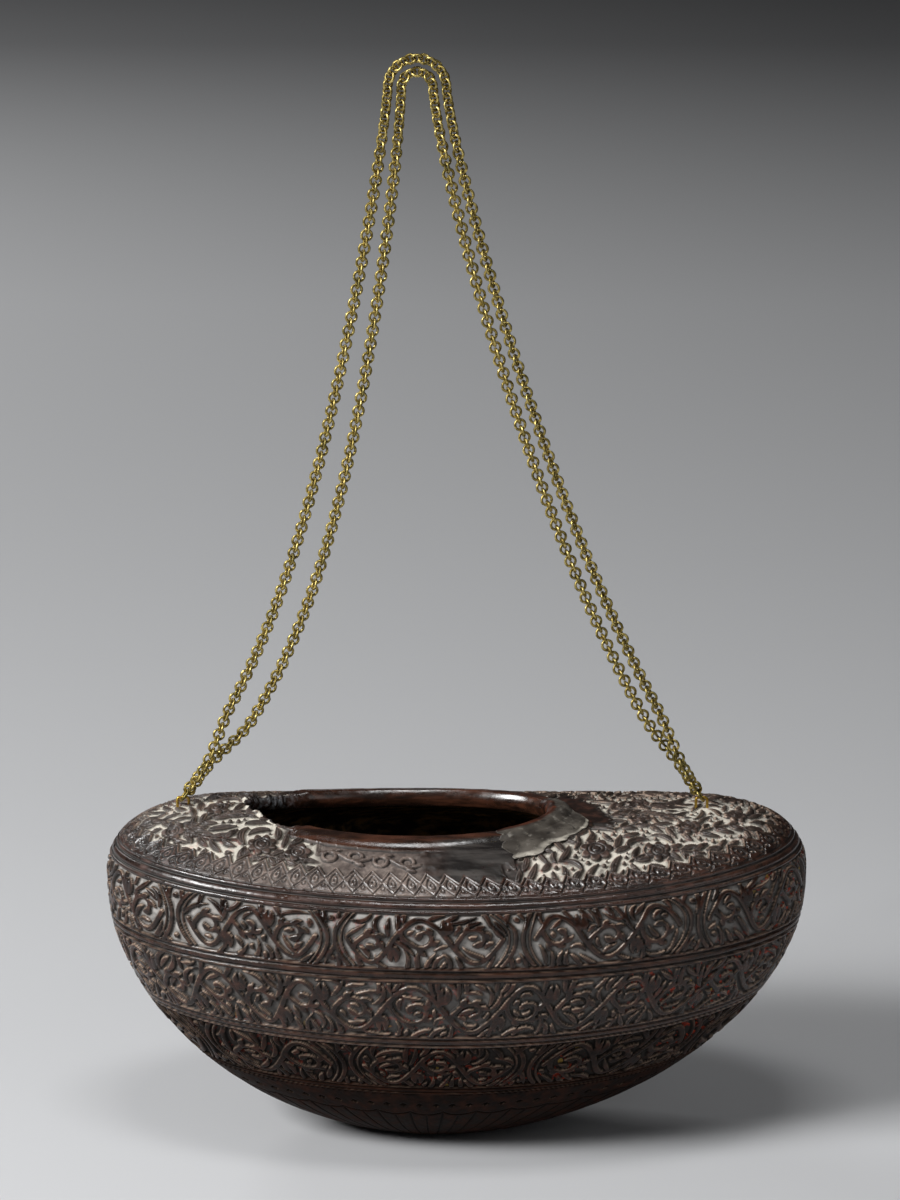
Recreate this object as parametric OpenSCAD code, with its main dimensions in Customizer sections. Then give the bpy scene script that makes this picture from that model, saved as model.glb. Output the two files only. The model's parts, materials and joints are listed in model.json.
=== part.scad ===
// Kashkul: a begging bowl cut from one sea-coconut shell, carried by a pair of brass link chains.
// Axes: +X runs along the bowl to its right end, +Y to the back, +Z up.
// The origin is on the ground, under the middle of the bowl's length and depth.

/* [Shell] */
// Length of the bowl from end to end
shell_len = 300; // [260:1:340]
// Depth of the bowl from front to back
shell_dep = 146; // [125:1:170]
// Height of the widest level above the foot
belly_h = 116; // [100:1:130]
// Height of the mouth's rim at its left end
rim_left_h = 149.5; // [145:0.5:158]
// Height of the mouth's rim at its right end
rim_right_h = 142.5; // [139:0.5:150]
// How much the right shoulder swells above a plain curve
swell = 6.5; // [0:0.5:9]
// Height of the mouth's rim at the middle of its long sides
rim_side_h = 142; // [138:0.5:146]
// Thickness of the shell's wall
wall = 4.6; // [3.6:0.2:6]
// How far the foot lies to the right of the bowl's middle
foot_x = -9; // [-15:0.5:5]
// Depth worn off the round bottom to make the flat foot
foot_cut = 2; // [1:0.1:3]

/* [Mouth] */
// Length of the mouth
mouth_len = 129; // [110:1:145]
// Width of the mouth from front to back
mouth_dep = 62; // [50:1:76]
// Place of the mouth's middle along the bowl
mouth_x = -23.5; // [-32:0.5:-12]
// Width of the smooth band round the mouth
band_w = 8; // [5:0.5:11]
// Height of the smooth band above the carved roof
band_h = 1.2; // [0:0.1:2]

/* [Carving] */
// Depth of the carved bands below the raised rings between them
carve = 0.8; // [0.4:0.1:1.2]
// How far the rings lie below the widest level, from the lowest ring to the highest
bead_drop = [78.4, 51.4, 18.7, -8.6];
// How much higher the rings lie at the bowl's left end
bead_left = [2, 3, 2, 4];
// How much higher the rings lie at the bowl's right end
bead_right = [5, 7, 3, 5];
// Widths of the rings
bead_w = [4.4, 5, 6, 6.2];
// Width of the raised border above the highest ring
border_w = 11; // [8:0.5:13]

/* [Mended lip] */
// Greatest thickness of the lip laid over the rim's right end
lip_h = 2.4; // [1.5:0.1:4]
// Thickness of the lip along its thin edge
lip_edge = 0.6; // [0.4:0.1:1.2]
// Extra width of the lip's apron on the front slope
lip_apron = 12; // [0:0.5:13]

/* [Chain] */
// Wire thickness of the chain links
link_wire = 1.17; // [1.05:0.01:1.22]
// Outside diameter of a link
link_od = 5.48; // [5.42:0.01:5.56]
// Step from one link to the next
link_step = 2.86; // [2.81:0.01:2.94]
// Height of the chain's top bend above the foot
apex_h = 466; // [430:1:500]
// Place of the chain's top bend along the bowl
apex_x = -16; // [-40:1:10]
// Place of the left fixing along the bowl
left_x = -116; // [-122:0.5:-110]
// Place of the right fixing along the bowl
right_x = 104; // [96:0.5:112]
// How far the two left strands bow apart at the most
left_spread = 3.4; // [1:0.1:5]
// How far the two right strands bow apart at the most
right_spread = 0.8; // [0.5:0.1:4]

/* [Fixings] */
// Wire thickness of the staples
staple_wire = 1.2; // [1:0.05:1.4]
// Distance between a staple's two legs
staple_span = 4.8; // [4.4:0.1:6]
// Height of the staples' bars above the shell
staple_rise = 2.3; // [2.2:0.1:4]
// Clearance round a staple's leg in its hole
hole_clear = 0.1; // [0.05:0.01:0.2]
// Wire thickness of the end rings
ring_wire = 1.25; // [1.1:0.05:1.4]
// Outside diameter of the end rings
ring_od = 7.25; // [6.8:0.05:8]
// Diameter of the roves inside the shell
rove_d = 9; // [8.4:0.1:10]
// Thickness of the roves
rove_t = 0.8; // [0.6:0.1:1.2]

/* [Hidden] */
$fn = 32;
// Corners in one ring of the shell's skin
nt = 60;
// Shape powers of the bottom, of the roof at its two ends and at the mouth's sides
n_low = 1.87;
n_left = 2.35;
n_right = 3.5;
n_side = 1.55;
// Half width of the line that the roof's curves aim at under the mouth
spine = 16;
// Share of the roof's rise that is drawn by height before it is drawn by width
rise_cut = 0.62;
foot_s = belly_h / (belly_h + foot_cut);
foot_ang = asin(pow(foot_s, n_low / 2));
half = [shell_len / 2, shell_dep / 2];
// Angles round the mouth between which the mended lip lies
lip_from = -66;
lip_to = 42;

function mix(a, b, k) = a + (b - a) * k;
function ease(k) = let (c = max(0, min(1, k))) c * c * (3 - 2 * c);
function unit(v) = v / norm(v);

// Plan of the widest level, and of the line under the mouth
function belly(th) = [half.x * cos(th), half.y * sin(th)];
function line(th) = [mouth_x + mouth_len / 2 * cos(th), spine * sin(th)];
function end_mix(l, r, th) = mix(l, r, (1 + cos(th)) / 2);
function roof_n(th) = mix(n_side, end_mix(n_left, n_right, th), pow(cos(th), 2));
function rim_z(th) = mix(rim_side_h, end_mix(rim_left_h, rim_right_h, th), pow(cos(th), 2));
function rim_c(th) = (mouth_dep / 2 - spine) / (half.y - spine) * pow(sin(th), 2);
function other(c, n) = pow(max(0, 1 - pow(c, n)), 1 / n);
function span(th) = norm(belly(th) - line(th));
function apron(th) = lip_apron * exp(-pow((th - 360 * round(th / 360) + 40) / 32, 2));
function band_c(th) = rim_c(th) + (band_w + apron(th)) / span(th);

// A point of the roof: c runs from 1 at the widest level down to rim_c at the mouth
function roof_z(th, c) = let (n = roof_n(th))
    belly_h + (rim_z(th) - belly_h) * other(c, n) / other(rim_c(th), n) +
    swell * pow(c, 3) * (1 - c) / 0.1055 * pow(max(0, cos(th)), 4);
function roof(th, c) = let (p = mix(line(th), belly(th), c),
    k = (c - rim_c(th)) * span(th) / band_w)
    [p.x, p.y, roof_z(th, c) + band_h * (1 - ease((k - 0.55) / 0.45))];

// A point of the bottom: s runs from 0 at the widest level to foot_s at the foot
function low(th, s) = let (c = other(s, n_low))
    [half.x * c * cos(th) + foot_x * s * s, half.y * c * sin(th), belly_h - (belly_h + foot_cut) * s];

// The whole outer skin: q is 0 at the foot, 1 at the widest level, 2 at the band and 3 at the rim
function skin_c(th, q) = let (n = roof_n(th), u = q - 1)
    q > 2 ? mix(band_c(th), rim_c(th), q - 2) :
    u < 0.4 ? other(rise_cut * u / 0.4, n) :
    mix(other(rise_cut, n), band_c(th), (u - 0.4) / 0.6);
function skin(th, q) = q < 1 ? low(th, pow(sin(foot_ang * (1 - q)), 2 / n_low)) : roof(th, skin_c(th, q));
function across(th, q) = unit(skin(th, min(3, q + 0.02)) - skin(th, max(0, q - 0.02)));
function normal(th, q) = unit(cross(skin(th + 0.5, q) - skin(th - 0.5, q), across(th, q)));
function inner(th, q) = skin(th, q) - wall * normal(th, q);
// The rounded edge of the rim: k is 0 outside and 1 inside
function edge(th, k) = skin(th, 3) - wall * k * normal(th, 3) + 0.38 * wall * sin(180 * k) * across(th, 3);

// The outer skin at a height, the way out of it there, and the height reached by going up it by a length
function roof_c(th, z) = let (n = roof_n(th))
    other((z - belly_h) / (rim_z(th) - belly_h) * other(rim_c(th), n), n);
function level(th, z) = z < belly_h ? low(th, (belly_h - z) / (belly_h + foot_cut)) : roof(th, roof_c(th, z));
function rising(th, z) = level(th, z + 0.3) - level(th, z - 0.3);
function climb(th, z, s, n = 6) = n == 0 ? z :
    climb(th, z + s / n * 0.6 / norm(rising(th, z)), s - s / n, n - 1);
function sunk(th, z, d) = level(th, z) - d * unit(cross(level(th + 0.5, z) - level(th - 0.5, z), rising(th, z)));

// The raised rings: height of a ring's middle, of its two edges, and of a place in the band above it
function bead_z(th, k) = belly_h - bead_drop[k] + (cos(th) < 0 ? bead_left : bead_right)[k] * pow(cos(th), 2);
function edge_z(th, k, side) = climb(th, bead_z(th, k), side * bead_w[k] / 2);
function band_z(th, k, share) = mix(climb(th, edge_z(th, k, 1), 0.5), climb(th, edge_z(th, k + 1, -1), -0.5), share);
// The carved roof between the border and the mouth's band; it is bare at the middle of the long sides
function border_z(th, share) = climb(th, edge_z(th, 3, 1), share * border_w);
function bare(th) = let (a = abs(th - 360 * round(th / 360))) ease((a - 60) / 8) * ease((99 - a) / 8);
function field(th, share) = let (c = mix(roof_c(th, border_z(th, 1)), band_c(th), share))
    roof(th, c) - carve * (1 - bare(th)) *
        unit(cross(roof(th + 0.5, c) - roof(th - 0.5, c), roof(th, c - 0.01) - roof(th, c + 0.01)));

mid_rows = [0, 0.33, 0.67, 1];
in_q = [2.67, 2, 1.8, 1.6, 1.4, 1.2, 1, 0.8, 0.6, 0.4, 0.2, 0];

// The ridge of the roof at its two ends, for the fixings
function ridge_c(x) = let (th = x > mouth_x ? 0 : 180)
    (x - line(th).x) / (belly(th).x - line(th).x);
function ridge_z(x) = roof_z(x > mouth_x ? 0 : 180, ridge_c(x));
bar_z = max(ridge_z(left_x), ridge_z(right_x)) + staple_rise;
function seat_z(x) = ridge_z(x) - wall + 1.2;

// Chain sizes
link_r = (link_od - link_wire) / 2;
ring_r = (ring_od - ring_wire) / 2;
play = 0.1;
// The top bends hold an odd number of links each
in_bend_n = 7;
out_bend_n = 13;
in_bend = in_bend_n * link_step / PI;
out_bend = out_bend_n * link_step / PI;
bend_mid = (in_bend + out_bend) / 2;
gap_half = (out_bend - in_bend) / 2;
arch_z = apex_h - out_bend - link_od / 2;
// The chain folds about lines along X at these heights
fold_z = [for (i = [1:3]) mix(bar_z, apex_h, i / 4)];
// How strongly a leg sags: the share of the slow curve in it
left_sag = 0.62;
right_sag = 0.86;
// The strands part front and back at the end ring and swing side by side over this length
turn_len = 44;
// How far the links lie turned out of the leg's plane, and the length over which they turn into the top bend
lay = 15;
roll_len = 36;

function anchor_x(side) = side < 0 ? left_x : right_x;
function top_x(side) = apex_x + side * bend_mid;
function sag(side) = side < 0 ? left_sag : right_sag;
function lean(side, w) = let (a = sag(side))
    a * (1 - pow(1 - w, 1.25)) + (1 - a) * (1 - pow(1 - w, 5));
function leg_mid(side, w) = [mix(anchor_x(side), top_x(side), lean(side, w)), 0, mix(bar_z, arch_z, w)];
function leg_dir(side, w) = unit(leg_mid(side, min(1, w + 0.002)) - leg_mid(side, max(0, w - 0.002)));
function start_dir(side) = leg_dir(side, 0.002);
// The end ring hangs on the staple's bar and lies in the plane of the leg and the Y axis
function ring_mid(side) = let (d = start_dir(side))
    [anchor_x(side), 0, bar_z] + d * (ring_r - (staple_wire + ring_wire) / 2 / d.z - play);
function spread(side) = side < 0 ? left_spread : right_spread;

// A point on a strand: way is 1 for the outer strand and -1 for the inner one
function strand(side, way, w) = let (
    m = leg_mid(side, w),
    d = leg_dir(side, w),
    n = unit(side * [mix(d.z, 1, ease(10 * w - 9)), 0, mix(-d.x, 0, ease(10 * w - 9))]),
    x = min(1, norm(m - ring_mid(side)) / turn_len),
    apart = gap_half * ease(x) + spread(side) * sin(180 * pow(w, 0.6)) * ease(1.4 * x - 0.4),
    front = 0.62 * turn_len * x * pow(1 - x, 2))
    m + way * (apart * n - [0, front, 0]);

// Lengths along a strand, measured in many short steps, and the place at a given length
steps = 320;
function marks(side, way, i = 0, s = 0, p = undef) = let (
    w = i / steps,
    q = strand(side, way, w),
    t = i == 0 ? 0 : s + norm(q - p))
    i > steps ? [] : concat([[t, w]], marks(side, way, i + 1, t, q));
function flip(list) = [for (m = list) [m[1], m[0]]];
// Where the first link stands: at one ring and link radius from the ring's middle
function first_s(side, way, list) = let (reach = ring_r + link_r - (ring_wire + link_wire) / 2 - play,
    hits = [for (i = [1:40]) if (norm(strand(side, way, list[i][1]) - ring_mid(side)) < reach) i],
    i = hits[len(hits) - 1],
    d0 = norm(strand(side, way, list[i][1]) - ring_mid(side)),
    d1 = norm(strand(side, way, list[i + 1][1]) - ring_mid(side)))
    mix(list[i][0], list[i + 1][0], (reach - d0) / (d1 - d0));
function cuts(side, way, list) = let (z = [for (z = fold_z) (z - bar_z) / (arch_z - bar_z)])
    concat([first_s(side, way, list) - link_step / 2],
        [for (w = z) at_height(side, way, list, w)],
        [list[steps][0]]);
// Length at which the strand itself, not its middle line, crosses a fold's height
function at_height(side, way, list, w) = let (h = mix(bar_z, arch_z, w),
    lo = max([for (m = list) if (strand(side, way, m[1]).z <= h) m[0]]),
    a = lookup(lo, list),
    b = a + 1 / steps,
    za = strand(side, way, a).z,
    zb = strand(side, way, b).z)
    lookup(mix(a, b, (h - za) / (zb - za)), flip(list));

// A link or ring: its middle, the way it runs and how far it is rolled about that way
module torus_at(p, dir, side_dir, r, wire) {
    up = cross(dir, side_dir);
    multmatrix([
        [dir.x, side_dir.x, up.x, p.x],
        [dir.y, side_dir.y, up.y, p.y],
        [dir.z, side_dir.z, up.z, p.z],
        [0, 0, 0, 1]])
        rotate_extrude() translate([r, 0]) circle(d = wire);
}

module link_at(p, dir, roll) {
    n = unit(cross([0, 1, 0], dir));
    torus_at(p, dir, n * cos(roll) + cross(dir, n) * sin(roll), link_r, link_wire);
}

// One run of links on a strand, between two cuts
module run(side, way, part) {
    list = marks(side, way);
    cut = cuts(side, way, list);
    count = [for (i = [0:3]) round((cut[i + 1] - cut[i]) / link_step)];
    before = part == 0 ? 0 : part == 1 ? count[0] : part == 2 ? count[0] + count[1] :
        count[0] + count[1] + count[2];
    total = count[0] + count[1] + count[2] + count[3];
    step = (cut[part + 1] - cut[part]) / count[part];
    // The roll at the top of every leg fits the first or last link of the bend above it
    twist = side * ((total % 2 == 0) ? -1 : 1);
    for (i = [0:count[part] - 1]) {
        s = cut[part] + (i + 0.5) * step;
        w = lookup(s, list);
        p = strand(side, way, w);
        dir = unit(strand(side, way, min(1, w + 0.003)) - strand(side, way, max(0, w - 0.003)));
        turned = mix(lay * ease((s - cut[0]) / turn_len), 45, ease(1.2 - (cut[4] - s) / roll_len));
        link_at(p, dir, twist * turned + 90 * ((before + i) % 2));
    }
}

// The links of a top bend
module bend(r, n) {
    for (i = [0:n - 1]) {
        a = 180 - 180 * (i + 0.5) / n;
        p = [apex_x + r * cos(a), 0, arch_z + r * sin(a)];
        link_at(p, [sin(a), 0, -cos(a)], 45 + 90 * (i % 2));
    }
}

module end_ring(side) {
    torus_at(ring_mid(side), start_dir(side), [0, 1, 0], ring_r, ring_wire);
}

// Round-wire pieces of a staple
module wire_bar(p, q) {
    v = q - p;
    translate(p)
        rotate([0, acos(v.z / norm(v)), atan2(v.y, v.x)])
            cylinder(d = staple_wire, h = norm(v));
}

module wire_bend(r, from) {
    rotate([90, 0, 0])
        rotate([0, 0, from])
            rotate_extrude(angle = 90)
                translate([r, 0])
                    circle(d = staple_wire);
}

// A staple: bar along X, two legs through the shell, tails bent out under the rove
module staple(x) {
    top_r = 1.1;
    tail_r = 0.75;
    reach = staple_span / 2;
    // The tails end short of the rove's edge, clear of the shell round it
    tail = rove_d / 2 - reach - tail_r - 0.15;
    tail_z = seat_z(x) - bar_z - rove_t - staple_wire / 2 - 0.05;
    translate([x, 0, bar_z]) {
        wire_bar([top_r - reach, 0, 0], [reach - top_r, 0, 0]);
        for (k = [-1, 1]) {
            translate([k * (reach - top_r), 0, -top_r])
                wire_bend(top_r, k > 0 ? 0 : 90);
            wire_bar([k * reach, 0, tail_z + tail_r], [k * reach, 0, -top_r]);
            translate([k * (reach + tail_r), 0, tail_z + tail_r])
                wire_bend(tail_r, k > 0 ? 180 : 270);
            wire_bar([k * (reach + tail_r), 0, tail_z], [k * (reach + tail_r + tail), 0, tail_z]);
        }
    }
}

// Round cuts are turned so that their seams miss the ridge line of the shell
module cut_round(d, h) {
    rotate([0, 0, 25])
        cylinder(d = d, h = h);
}

module leg_holes(x, from_z, to_z) {
    for (k = [-1, 1])
        translate([x + k * staple_span / 2, 0, from_z])
            cut_round(staple_wire + 2 * hole_clear, to_z - from_z);
}

module rove(x) {
    color("#a98b45")
    difference() {
        translate([x, 0, seat_z(x) - rove_t])
            cylinder(d = rove_d, h = rove_t);
        leg_holes(x, seat_z(x) - rove_t - 1, seat_z(x) + 1);
    }
}

// Skins are lists of equal rings of points, joined ring to ring
function ring_faces(rows, n, closed) = [for (r = [0:rows - 2]) for (i = [0:closed ? n - 1 : n - 2])
    let (a = r * n + i, b = r * n + (i + 1) % n)
    each [[a, a + n, b], [b, a + n, b + n]]];

module bowl_shell() {
    th = [for (i = [0:nt - 1]) 360 * i / nt];
    rows = concat(
        [for (w = [0, 0.3, 0.6, 0.85]) [for (t = th) level(t, w * edge_z(t, 0, -1))]],
        [for (k = [0:3]) each concat(
            [for (side = [-1, 1]) [for (t = th) level(t, edge_z(t, k, side))]],
            k == 3 ? [] : [for (w = mid_rows) [for (t = th) sunk(t, band_z(t, k, w), carve)]])],
        [for (w = [0.5, 1]) [for (t = th) level(t, border_z(t, w))]],
        [for (w = [0.07, 0.4, 0.75]) [for (t = th) field(t, w)]],
        [for (q = [2, 2.33, 2.67, 3]) [for (t = th) skin(t, q)]],
        [for (k = [0.25, 0.5, 0.75, 1]) [for (t = th) edge(t, k)]],
        [for (q = in_q) [for (t = th) inner(t, q)]]);
    last = len(rows) - 1;
    foot = [foot_x * foot_s * foot_s, 0, 0];
    floor_z = min([for (p = rows[last]) p.z]);
    points = concat([for (r = rows) each r], [foot, [foot.x, 0, floor_z]]);
    cap = len(points) - 2;
    faces = concat(ring_faces(len(rows), nt, true),
        [for (i = [0:nt - 1]) [cap, i, (i + 1) % nt]],
        [for (i = [0:nt - 1]) [cap + 1, last * nt + (i + 1) % nt, last * nt + i]]);
    color("#3a2a20")
    difference() {
        polyhedron(points, faces);
        for (x = [left_x, right_x]) {
            leg_holes(x, seat_z(x) - 3, bar_z + 4);
            translate([x, 0, seat_z(x) - 9])
                cut_round(rove_d + 0.8, 9);
        }
    }
}

// The lip lies on the band and half way over the rim, on the shell's own skin points
module mended_lip() {
    step = 360 / nt;
    th = [for (a = [lip_from:step:lip_to]) a];
    n = len(th);
    out = [2, 2.33, 2.67, 3];
    rise = [0, 0.55, 0.95, 1];
    rim = [0.25, 0.5];
    rim_rise = [0.75, 0.25];
    function taper(t) = ease((t - lip_from) / 40) * ease((lip_to - t) / 26);
    function thick(t, k) = lip_edge + (lip_h - lip_edge) * k * taper(t);
    base = concat([for (q = out) [for (t = th) skin(t, q)]],
        [for (k = rim) [for (t = th) edge(t, k)]]);
    top = concat([for (j = [0:3]) [for (t = th) skin(t, out[j]) + thick(t, rise[j]) * normal(t, out[j])]],
        [for (j = [0:1]) [for (t = th) edge(t, rim[j]) + thick(t, rim_rise[j]) *
            unit(normal(t, 3) * cos(90 * (j + 1) / 2) + across(t, 3) * sin(90 * (j + 1) / 2))]]);
    m = len(base);
    size = m * n;
    points = concat([for (r = top) each r], [for (r = base) each r]);
    under = [for (f = ring_faces(m, n, false)) [f[0] + size, f[2] + size, f[1] + size]];
    sides = concat(
        [for (i = [0:n - 2]) each [[i, i + 1, i + size], [i + 1, i + 1 + size, i + size]]],
        [for (i = [0:n - 2]) let (a = (m - 1) * n + i)
            each [[a, a + size, a + 1], [a + 1, a + size, a + 1 + size]]],
        [for (j = [0:m - 2]) let (a = j * n, b = a + n)
            each [[a, a + size, b], [b, a + size, b + size]]],
        [for (j = [0:m - 2]) let (a = j * n + n - 1, b = a + n)
            each [[a, b, a + size], [b, b + size, a + size]]]);
    color("#55534f")
        polyhedron(points, concat(ring_faces(m, n, false), under, sides));
}

module brass() {
    color("#b59a52") children();
}

// Piece to draw, or all of them

module left_staple() { brass() staple(left_x); }
module right_staple() { brass() staple(right_x); }
module left_rove() { rove(left_x); }
module right_rove() { rove(right_x); }
module left_ring() { brass() end_ring(-1); }
module right_ring() { brass() end_ring(1); }
module outer_left_low() { brass() run(-1, 1, 0); }
module outer_left_mid() { brass() run(-1, 1, 1); }
module outer_left_high() { brass() run(-1, 1, 2); }
module outer_left_top() { brass() run(-1, 1, 3); }
module inner_left_low() { brass() run(-1, -1, 0); }
module inner_left_mid() { brass() run(-1, -1, 1); }
module inner_left_high() { brass() run(-1, -1, 2); }
module inner_left_top() { brass() run(-1, -1, 3); }
module outer_right_low() { brass() run(1, 1, 0); }
module outer_right_mid() { brass() run(1, 1, 1); }
module outer_right_high() { brass() run(1, 1, 2); }
module outer_right_top() { brass() run(1, 1, 3); }
module inner_right_low() { brass() run(1, -1, 0); }
module inner_right_mid() { brass() run(1, -1, 1); }
module inner_right_high() { brass() run(1, -1, 2); }
module inner_right_top() { brass() run(1, -1, 3); }
module outer_bend() { brass() bend(out_bend, out_bend_n); }
module inner_bend() { brass() bend(in_bend, in_bend_n); }

bowl_shell();
mended_lip();
left_staple();
right_staple();
left_rove();
right_rove();
left_ring();
right_ring();
outer_left_low();
outer_left_mid();
outer_left_high();
outer_left_top();
inner_left_low();
inner_left_mid();
inner_left_high();
inner_left_top();
outer_right_low();
outer_right_mid();
outer_right_high();
outer_right_top();
inner_right_low();
inner_right_mid();
inner_right_high();
inner_right_top();
outer_bend();
inner_bend();
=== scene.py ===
import json
import math

import bpy
import numpy as np
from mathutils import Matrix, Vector


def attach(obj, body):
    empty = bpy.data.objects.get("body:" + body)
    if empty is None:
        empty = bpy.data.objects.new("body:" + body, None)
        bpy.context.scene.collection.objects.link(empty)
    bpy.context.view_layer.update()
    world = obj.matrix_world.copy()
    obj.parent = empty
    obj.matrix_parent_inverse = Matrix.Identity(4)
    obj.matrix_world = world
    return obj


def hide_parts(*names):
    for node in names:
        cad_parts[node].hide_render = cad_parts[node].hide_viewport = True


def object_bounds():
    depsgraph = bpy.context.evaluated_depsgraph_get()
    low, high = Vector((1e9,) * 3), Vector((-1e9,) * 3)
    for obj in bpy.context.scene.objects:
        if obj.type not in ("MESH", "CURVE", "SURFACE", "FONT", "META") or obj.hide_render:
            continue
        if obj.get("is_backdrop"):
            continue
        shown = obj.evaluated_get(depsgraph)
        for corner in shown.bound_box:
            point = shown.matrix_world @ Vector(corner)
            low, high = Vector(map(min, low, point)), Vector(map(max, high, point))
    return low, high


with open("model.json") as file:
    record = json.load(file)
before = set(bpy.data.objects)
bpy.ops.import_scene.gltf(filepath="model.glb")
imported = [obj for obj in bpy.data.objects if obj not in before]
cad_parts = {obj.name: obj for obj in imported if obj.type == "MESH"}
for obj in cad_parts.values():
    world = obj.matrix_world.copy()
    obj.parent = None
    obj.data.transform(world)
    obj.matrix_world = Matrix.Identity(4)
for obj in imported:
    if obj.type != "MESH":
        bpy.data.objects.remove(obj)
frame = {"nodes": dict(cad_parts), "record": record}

CAD_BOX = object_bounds()

MM = 0.001

# Sizes of the shell in mm, as in the part's source
SHELL_LEN, SHELL_DEP, BELLY_H = 300.0, 146.0, 116.0
RIM_LEFT_H, RIM_RIGHT_H, RIM_SIDE_H, SWELL = 149.5, 142.5, 142.0, 6.5
WALL, FOOT_X, FOOT_CUT = 4.6, -9.0, 2.0
MOUTH_LEN, MOUTH_DEP, MOUTH_X = 129.0, 62.0, -23.5
BAND_W, BAND_H = 8.0, 1.2
LIP_H, LIP_EDGE, LIP_APRON = 2.4, 0.6, 12.0
LIP_FROM, LIP_TO = -66.0, 42.0
N_LOW, N_LEFT, N_RIGHT, N_SIDE = 1.87, 2.35, 3.5, 1.55
SPINE, RISE_CUT = 16.0, 0.62
HALF_X, HALF_Y = SHELL_LEN / 2, SHELL_DEP / 2
FOOT_S = BELLY_H / (BELLY_H + FOOT_CUT)
FOOT_ANG = math.asin(FOOT_S ** (N_LOW / 2))

# Columns and rows of the carved shell
COLS = 1664
LOW_ROWS, ROOF_ROWS, EDGE_ROWS, IN_ROWS = 340, 220, 10, 44
ROWS = LOW_ROWS + ROOF_ROWS

# Points of the skin on the way up to the belly and from there to the rim, before equal steps are taken
LOW_STEPS, HIGH_STEPS = 500, 700

# Places of the staples along the bowl, and how far and deep the chain has rubbed the leaves there, in mm
STAPLES_X = (-116.0, 104.0)
RUB_REACH, RUB_DEPTH = 17.0, 1.05

# Depth of the carved ground below the highest surface, in mm
DEPTH_BAND, DEPTH_ROOF = 1.6, 1.7

# Zones of the skin: 1 to 3 are the bands, and the rings are numbered from Z_RING on
Z_LOW, Z_BORDER, Z_ROOF, Z_RIM, Z_RING = 4, 5, 6, 7, 10

# Bosses and lobed petals round the foot, and petals in the border
BOSSES, LOBES, PETALS = 66, 30, 76

# How far the lowest points of the border run down to the ring, in mm
FOOT_GAP = 1.3


def mix(a, b, k):
    return a + (b - a) * k


def ease(k):
    k = np.clip(k, 0.0, 1.0)
    return k * k * (3 - 2 * k)


# The shell's skin, for arrays of angles in radians
def other(c, n):
    return np.maximum(0.0, 1 - np.clip(c, 0, 1) ** n) ** (1 / n)


def end_mix(left, right, th):
    return mix(left, right, (1 + np.cos(th)) / 2)


def roof_n(th):
    return mix(N_SIDE, end_mix(N_LEFT, N_RIGHT, th), np.cos(th) ** 2)


def rim_z(th):
    return mix(RIM_SIDE_H, end_mix(RIM_LEFT_H, RIM_RIGHT_H, th), np.cos(th) ** 2)


def rim_c(th):
    return (MOUTH_DEP / 2 - SPINE) / (HALF_Y - SPINE) * np.sin(th) ** 2


def belly(th):
    return HALF_X * np.cos(th), HALF_Y * np.sin(th)


def under(th):
    return MOUTH_X + MOUTH_LEN / 2 * np.cos(th), SPINE * np.sin(th)


def span(th):
    bx, by = belly(th)
    lx, ly = under(th)
    return np.hypot(bx - lx, by - ly)


def apron(th):
    d = np.degrees((th + np.pi) % (2 * np.pi) - np.pi)
    return LIP_APRON * np.exp(-((d + 40) / 32) ** 2)


def band_c(th):
    return rim_c(th) + (BAND_W + apron(th)) / span(th)


def roof(th, c):
    n = roof_n(th)
    bx, by = belly(th)
    lx, ly = under(th)
    z = BELLY_H + (rim_z(th) - BELLY_H) * other(c, n) / other(rim_c(th), n)
    z = z + SWELL * c ** 3 * (1 - c) / 0.1055 * np.maximum(0, np.cos(th)) ** 4
    k = (c - rim_c(th)) * span(th) / BAND_W
    z = z + BAND_H * (1 - ease((k - 0.55) / 0.45))
    return np.stack([mix(lx, bx, c), mix(ly, by, c), z], -1)


def low(th, s):
    c = other(s, N_LOW)
    return np.stack([HALF_X * c * np.cos(th) + FOOT_X * s * s, HALF_Y * c * np.sin(th),
                     BELLY_H - (BELLY_H + FOOT_CUT) * s + 0 * th], -1)


def skin(th, q):
    """Points of the outer skin: q is 0 at the foot, 1 at the belly, 2 at the band and 3 at the rim."""
    th, q = np.broadcast_arrays(np.asarray(th, float), np.asarray(q, float))
    s = np.sin(FOOT_ANG * np.clip(1 - q, 0, 1)) ** (2 / N_LOW)
    u = np.clip(q - 1, 0, None)
    n = roof_n(th)
    c = np.where(q > 2, mix(band_c(th), rim_c(th), q - 2),
                 np.where(u < 0.4, other(RISE_CUT * np.minimum(u, 0.4) / 0.4, n),
                          mix(other(np.full_like(th, RISE_CUT), n), band_c(th), (u - 0.4) / 0.6)))
    return np.where((q < 1)[..., None], low(th, s), roof(th, c))


def unit(v):
    return v / np.maximum(np.linalg.norm(v, axis=-1, keepdims=True), 1e-12)


def across(th, q):
    return unit(skin(th, np.minimum(3, q + 0.02)) - skin(th, np.maximum(0, q - 0.02)))


def normal(th, q):
    d = math.radians(0.5)
    return unit(np.cross(skin(th + d, q) - skin(th - d, q), across(th, q)))


# Ornament is drawn in flat fields that give how far a place lies inside the nearest stroke
PX = 4.0
REACH = 3.0
PAD = 16.0


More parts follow.
